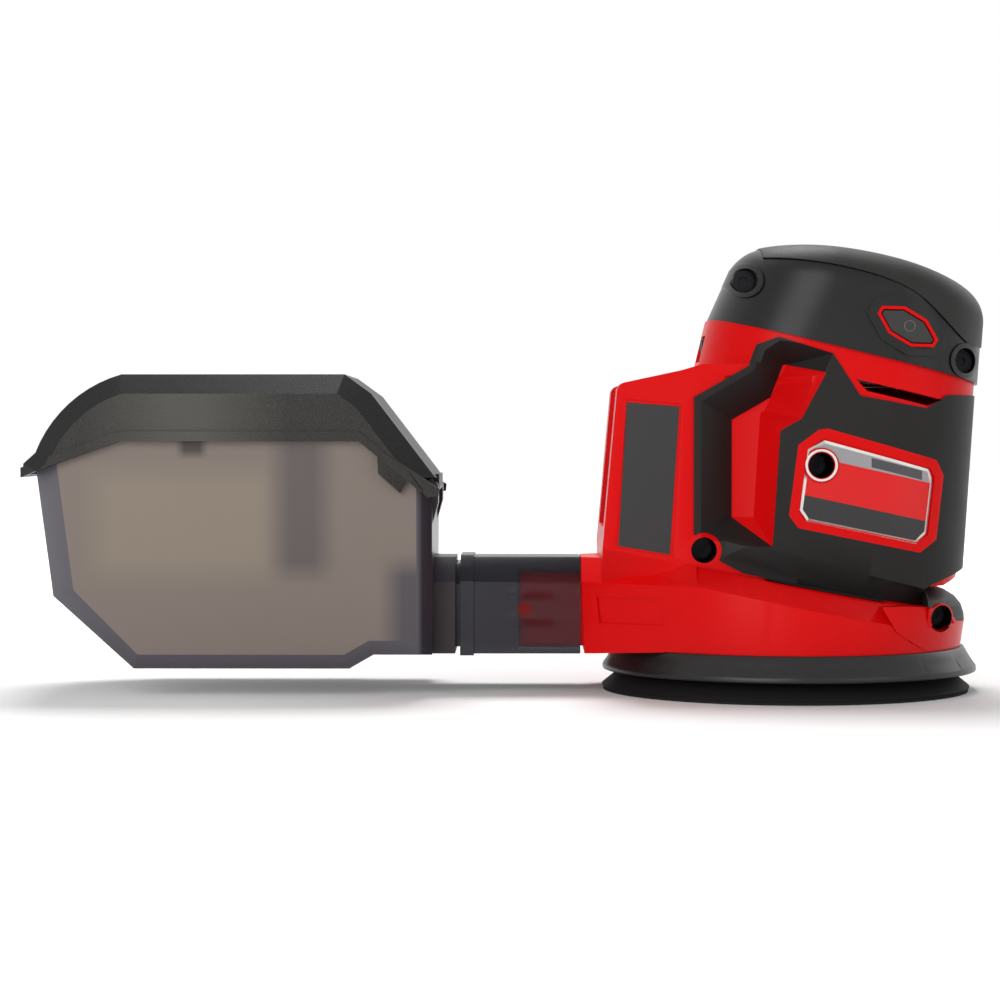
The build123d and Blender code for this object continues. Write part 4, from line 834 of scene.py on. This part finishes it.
class SANDER_OT_underside(bpy.types.Operator):
    """Brake skirt and sanding pad"""
    bl_idname = "sander.underside"
    bl_label = "Skirt and pad"

    def execute(self, context):
        rubber = moulded("Skirt rubber", linear(24, 22, 22), 0.34, 1500.0, 0.0001, 0.08, 0.32,
                         0.03)
        foam = moulded("Pad foam", linear(17, 15, 15), 0.7, 1400.0, 0.0002, 0.1, 0.15)
        skirt = self.ringed(twin("brake_skirt", "skirt_shell"), SKIRT_RINGS, DRIVE)
        wear(soften(skirt, 0.5), "tool", rubber)
        pad = self.ringed(twin("pad_foam", "pad_foam_shell"), PAD_RINGS, PAD_CENTRE)
        wear(soften(pad, 0.15), "pad", foam)
        return {"FINISHED"}

    def ringed(self, piece, rings, centre):
        """Raises, lowers, widens or narrows rings of corners round a centre."""
        for inner, outer, low, high, lift, widen in rings:
            def chosen(x, y, z):
                return inner < math.hypot(x - centre[0], y) < outer and low < z < high

            push(piece, chosen, move=(0, 0, lift), grow=(widen, widen, 1))
        return piece


# ---------------------------------------------------------------- plates and marks

PLATE = [(3.6, 81.9), (9.1, 84.9), (44.1, 75.3), (45.3, 70.8), (43.3, 54.5), (39.5, 51.0),
         (3.4, 58.5), (1.1, 62.0), (2.4, 72.3)]
PLATE_HOLE = (8.1, 76.7)
PLATE_BORDER = 0.9
PLATE_THICK = 0.3
PLATE_CUTS = range(28, 46, 2)
PLATE_START = -50.0
PLATE_HOLE_RADIUS = 4.4
# Slope and height at x = 0 of the head's and the foot's edges, and the head's dark field.
PLATE_HEAD, PLATE_FOOT = (0.225, 80.7), (0.215, 67.7)
FIELD_SLOPE, FIELD_HEIGHTS, FIELD_ENDS, FIELD_BLUR = 0.25, (82.2, 85.3), (24.5, 41.5), 0.1
EDGE_SHARPNESS = 4000.0
RING_OUTER, RING_INNER = 5.3, 4.5
RING_LEVELS = (-41.35, -40.5)
LABEL = [(-55.6, 97.4), (-38.2, 96.0), (-41.3, 47.4), (-58.2, 50.2)]
LABEL_LEVELS = (-38.2, -37.9)
MARK_AT = (36.6, -42.1, 122.2)
MARK_RADIUS, MARK_THICK = 1.7, 0.22


class SANDER_OT_plates(bpy.types.Operator):
    """Bare rating plate, bare side label and the switch mark"""
    bl_idname = "sander.plates"
    bl_label = "Plates and marks"

    def execute(self, context):
        self.rating_plate()
        label = slab("side_label", LABEL, *LABEL_LEVELS)
        film = moulded("Label film", linear(40, 38, 38), 0.38, 900.0, 0.00002, 0.04, 0.3)
        wear(soften(label, 0.08), "tool", film)
        self.switch_mark()
        return {"FINISHED"}

    def rating_plate(self):
        """A thin plate laid on the curved wall, and the ring round its screw hole."""
        plate = self.bordered_sheet()
        wall = bpy.data.objects["housing_right_shell"]
        apply_modifier(plate, "SHRINKWRAP", target=wall, wrap_method="PROJECT",
                       use_project_y=True, use_positive_direction=True,
                       use_negative_direction=False, offset=0.15 * MM)
        face_out(plate)
        if sum(face.normal.y for face in plate.data.polygons) > 0:
            bpy.ops.object.mode_set(mode="EDIT")
            bpy.ops.mesh.select_all(action="SELECT")
            bpy.ops.mesh.flip_normals()
            bpy.ops.object.mode_set(mode="OBJECT")
        apply_modifier(plate, "SOLIDIFY", thickness=PLATE_THICK * MM, offset=-1.0)
        carve(plate, rod("hole", *PLATE_HOLE, PLATE_HOLE_RADIUS, -FAR, 0))
        silver = metal("Plate silver", linear(200, 198, 194), 0.34)
        parts = [face.material_index for face in plate.data.polygons]
        wear(plate, "tool", self.plate_finish())
        plate.data.materials.append(silver)
        for face, part in zip(plate.data.polygons, parts):
            face.material_index = part
        smooth(plate, 25)
        ring = rod("plate_ring", *PLATE_HOLE, RING_OUTER, *RING_LEVELS, 64)
        carve(ring, rod("hole", *PLATE_HOLE, RING_INNER, -FAR, 0, 64))
        wear(soften(ring, 0.1), "tool", silver)

    def bordered_sheet(self):
        """The plate's flat outline: its border has the second material, and it is cut into
        strips so that it can bend."""
        plate = sheet("rating_plate", PLATE, PLATE_START)
        activate(plate)
        bpy.ops.object.mode_set(mode="EDIT")
        bpy.ops.mesh.select_all(action="SELECT")
        bpy.ops.mesh.inset(thickness=PLATE_BORDER * MM, depth=0)
        bpy.ops.mesh.select_all(action="INVERT")
        bpy.ops.object.mode_set(mode="OBJECT")
        for face in plate.data.polygons:
            face.material_index = 0 if len(face.vertices) == len(PLATE) else 1
        bpy.ops.object.mode_set(mode="EDIT")
        for x in PLATE_CUTS:
            bpy.ops.mesh.select_all(action="SELECT")
            bpy.ops.mesh.bisect(plane_co=(x * MM, 0, 0), plane_no=(1, 0, 0))
        bpy.ops.object.mode_set(mode="OBJECT")
        return plate

    def plate_finish(self):
        """Silver head with a dark field, red middle and dark foot, all bare."""
        finish = Finish("Plate face")
        spot = finish.place()
        x, z = finish.split(spot, "X"), finish.split(spot, "Z")
        slope, height = PLATE_HEAD
        head = ((z + x * slope - height * MM) * EDGE_SHARPNESS).bounded()
        slope, height = PLATE_FOOT
        foot = ((height * MM - x * slope - z) * EDGE_SHARPNESS).bounded()
        field = (within(z + x * FIELD_SLOPE, *FIELD_HEIGHTS, FIELD_BLUR)
                 * within(x, *FIELD_ENDS, FIELD_BLUR))
        red = tuple(bpy.context.scene.sander_colours.red)
        body = finish.tint(red, linear(150, 150, 152), head)
        body = finish.tint(body, linear(70, 70, 74), field * head)
        body = finish.tint(body, linear(40, 38, 38), foot)
        finish.set(Base_Color=body, Roughness=(0.3 + 0.08 * finish.noise(80.0)).bounded(),
                   Specular_IOR_Level=0.35,
                   Normal=finish.bump(finish.noise(1500.0), 0.1, 0.00002))
        return finish.material

    def switch_mark(self):
        """A small raised ring on the switch."""
        deselect()
        bpy.ops.mesh.primitive_torus_add(
            major_radius=MARK_RADIUS * MM, minor_radius=MARK_THICK * MM, major_segments=40,
            minor_segments=8, location=Vector(MARK_AT) * MM, rotation=(math.radians(90), 0, 0))
        mark = bpy.context.object
        mark.name = "switch_mark"
        bpy.ops.object.transform_apply(location=True, rotation=True, scale=True)
        smooth(mark, 60)
        wear(mark, "switch", moulded("Mark", linear(92, 90, 88), 0.4, 1500.0, 0.00002))


# ---------------------------------------------------------------- carried solids

class SANDER_OT_carried(bpy.types.Operator):
    """Finishes for the solids that show as they are"""
    bl_idname = "sander.carried"
    bl_label = "Carried solids"

    def execute(self, context):
        black = moulded("Black plastic", linear(30, 30, 30), 0.45, 1800.0, 0.00008, 0.08, 0.3)
        slots = {
            "housing_red": bpy.data.materials["Housing red"],
            "black_plastic": black,
            "button_plastic": moulded("Button plastic", linear(44, 43, 42), 0.42, 1600.0, 0.00006),
            "board_green": moulded("Circuit board", linear(22, 82, 46), 0.35, 700.0, 0.00004, 0.15),
            "contact_brass": metal("Contact brass", linear(214, 176, 104), 0.25),
            "motor_steel": metal("Motor steel", linear(150, 152, 156), 0.35),
            "lamination_steel": metal("Lamination steel", linear(112, 112, 116), 0.5, 2500.0),
            "winding_copper": metal("Winding copper", linear(196, 112, 62), 0.32, 1800.0),
            "bearing_steel": metal("Bearing steel", linear(196, 197, 200), 0.18),
            # Near-black: the screws' own black oxide, and also painted shade so the heads read as
            # dark wells.
            "screw_steel": metal("Blackened screws", linear(34, 34, 36), 0.3),
            "shaft_steel": metal("Shaft steel", linear(178, 178, 182), 0.24),
            "magnet_grey": metal("Magnet grey", linear(88, 88, 92), 0.5),
            "fan_plastic": moulded("Fan nylon", linear(58, 58, 60), 0.5, 1200.0, 0.00008),
            "hook_fabric": moulded("Hook fabric", linear(38, 36, 36), 0.9, 1100.0, 0.0004,
                                   0.3, 0.1),
            "filter_plastic": black,
            "filter_paper": moulded("Filter paper", linear(215, 210, 195), 0.85, 900.0, 0.0001),
        }
        for part in frame["record"]["subparts"]:
            node = frame["nodes"][part["node"]]
            node.data.materials.clear()
            node.data.materials.append(slots.get(part["material_slot"], black))
        return {"FINISHED"}


# ---------------------------------------------------------------- stage

FLOOR_SIZE = 12.0
# Name, place and target in metres, side in metres, power in watts.
LAMPS = (
    ("Key", (-0.55, -1.15, 0.5), (-0.05, 0, 0.07), 0.9, 9.4),
    ("Fill", (0.9, -0.9, 0.5), (0, 0, 0.07), 0.9, 2.6),
    ("Top", (-0.12, 0.5, 1.15), (-0.05, 0, 0.05), 0.6, 13.0),
    ("Rim", (0.7, 0.8, 0.7), (0, 0, 0.1), 0.7, 2.0),
)
WORLD_LIGHT = 0.22
# The floor's own glow: near, added over open floor, and added far off, with the start and
# the length of each rise in metres.
GLOW_NEAR, GLOW_OPEN, GLOW_FAR = 0.03, 0.15, 0.82
OPEN_START, OPEN_LENGTH, FAR_START, FAR_LENGTH = 0.06, 0.14, 0.35, 0.4
CAMERA_TILT, CAMERA_PAN = 90 - 1.33, 0.506


class SANDER_OT_stage(bpy.types.Operator):
    """Floor, lamps and camera"""
    bl_idname = "sander.stage"
    bl_label = "Stage"

    def execute(self, context):
        self.floor()
        for lamp in LAMPS:
            self.lamp(*lamp)
        self.world(context)
        self.camera(context)
        context.scene.view_settings.view_transform = "Standard"
        return {"FINISHED"}

    def floor(self):
        """A pale floor that grows white away from the tool, so that its shadow stays."""
        deselect()
        bpy.ops.mesh.primitive_plane_add(size=FLOOR_SIZE, location=(0, 0, 0))
        floor = bpy.context.object
        floor.name = "Floor"
        finish = Finish("Floor")
        spot = finish.place()
        away = finish.node("ShaderNodeVectorMath", {"operation": "LENGTH"}, out="Value",
                           Vector=spot)
        far_off = ((away - FAR_START) / FAR_LENGTH).bounded()
        open_floor = ((away - OPEN_START) / OPEN_LENGTH).bounded()
        level = GLOW_NEAR + GLOW_OPEN * open_floor + GLOW_FAR * far_off
        glow = self.seen(finish.tree) * level
        white = finish.tint((0, 0, 0), (1, 1, 1), glow)
        finish.set(Base_Color=(0.88, 0.88, 0.88, 1), Roughness=0.9, Specular_IOR_Level=0.05,
                   Emission_Color=white, Emission_Strength=1.0)
        floor.data.materials.append(finish.material)

    def world(self, context):
        """White to the eye, and a weak light from all round."""
        world = bpy.data.worlds.new("Studio")
        world.use_nodes = True
        background = world.node_tree.nodes["Background"]
        strength = self.seen(world.node_tree) * (1 - WORLD_LIGHT) + WORLD_LIGHT
        world.node_tree.links.new(strength.socket, background.inputs["Strength"])
        background.inputs["Color"].default_value = (1, 1, 1, 1)
        context.scene.world = world

    def camera(self, context):
        view = context.scene.sander_view
        camera = bpy.data.cameras.new("Camera")
        camera.lens = view.lens
        holder = bpy.data.objects.new("Camera", camera)
        holder.location = (view.side, -view.distance, view.height)
        holder.rotation_euler = Euler((math.radians(CAMERA_TILT), 0, math.radians(CAMERA_PAN)))
        context.scene.collection.objects.link(holder)
        context.scene.camera = holder

    def seen(self, tree):
        """One for what the camera sees, straight or through metal and glass."""
        path = tree.nodes.new("ShaderNodeLightPath")
        total = Wire(tree, path.outputs["Is Camera Ray"])
        for kind in ("Is Glossy Ray", "Is Transmission Ray"):
            total = total + Wire(tree, path.outputs[kind])
        return total.bounded()

    def lamp(self, name, place, target, size, power):
        lamp = bpy.data.lights.new(name, "AREA")
        lamp.shape = "RECTANGLE"
        lamp.size = size
        lamp.size_y = size
        lamp.energy = power
        holder = bpy.data.objects.new(name, lamp)
        holder.location = place
        toward = Vector(place) - Vector(target)
        holder.rotation_euler = toward.to_track_quat("Z", "Y").to_euler()
        bpy.context.scene.collection.objects.link(holder)


class SANDER_PT_panel(bpy.types.Panel):
    """Sidebar panel that lists the steps"""
    bl_idname = "SANDER_PT_panel"
    bl_label = "Orbital sander"
    bl_space_type = "VIEW_3D"
    bl_region_type = "UI"
    bl_category = "Sander"

    def draw(self, context):
        for operator in OPERATORS:
            self.layout.operator(operator.bl_idname)
        for group in SETTINGS:
            settings = getattr(context.scene, group)
            for key in settings.__annotations__:
                self.layout.prop(settings, key)


OPERATORS = (SANDER_OT_shells, SANDER_OT_canister, SANDER_OT_lid, SANDER_OT_underside,
             SANDER_OT_plates, SANDER_OT_carried, SANDER_OT_stage)
SETTINGS = {"sander_colours": SanderColours, "sander_lid": SanderLid,
            "sander_view": SanderView}
CLASSES = (*SETTINGS.values(), *OPERATORS, SANDER_PT_panel)


def register():
    for group in CLASSES:
        bpy.utils.register_class(group)
    for name, group in SETTINGS.items():
        setattr(bpy.types.Scene, name, bpy.props.PointerProperty(type=group))


def unregister():
    for name in SETTINGS:
        delattr(bpy.types.Scene, name)
    for group in reversed(CLASSES):
        bpy.utils.unregister_class(group)


def main():
    register()
    for step in ("shells", "canister", "lid", "underside", "plates", "carried", "stage"):
        getattr(bpy.ops.sander, step)()


if __name__ == "__main__":
    main()
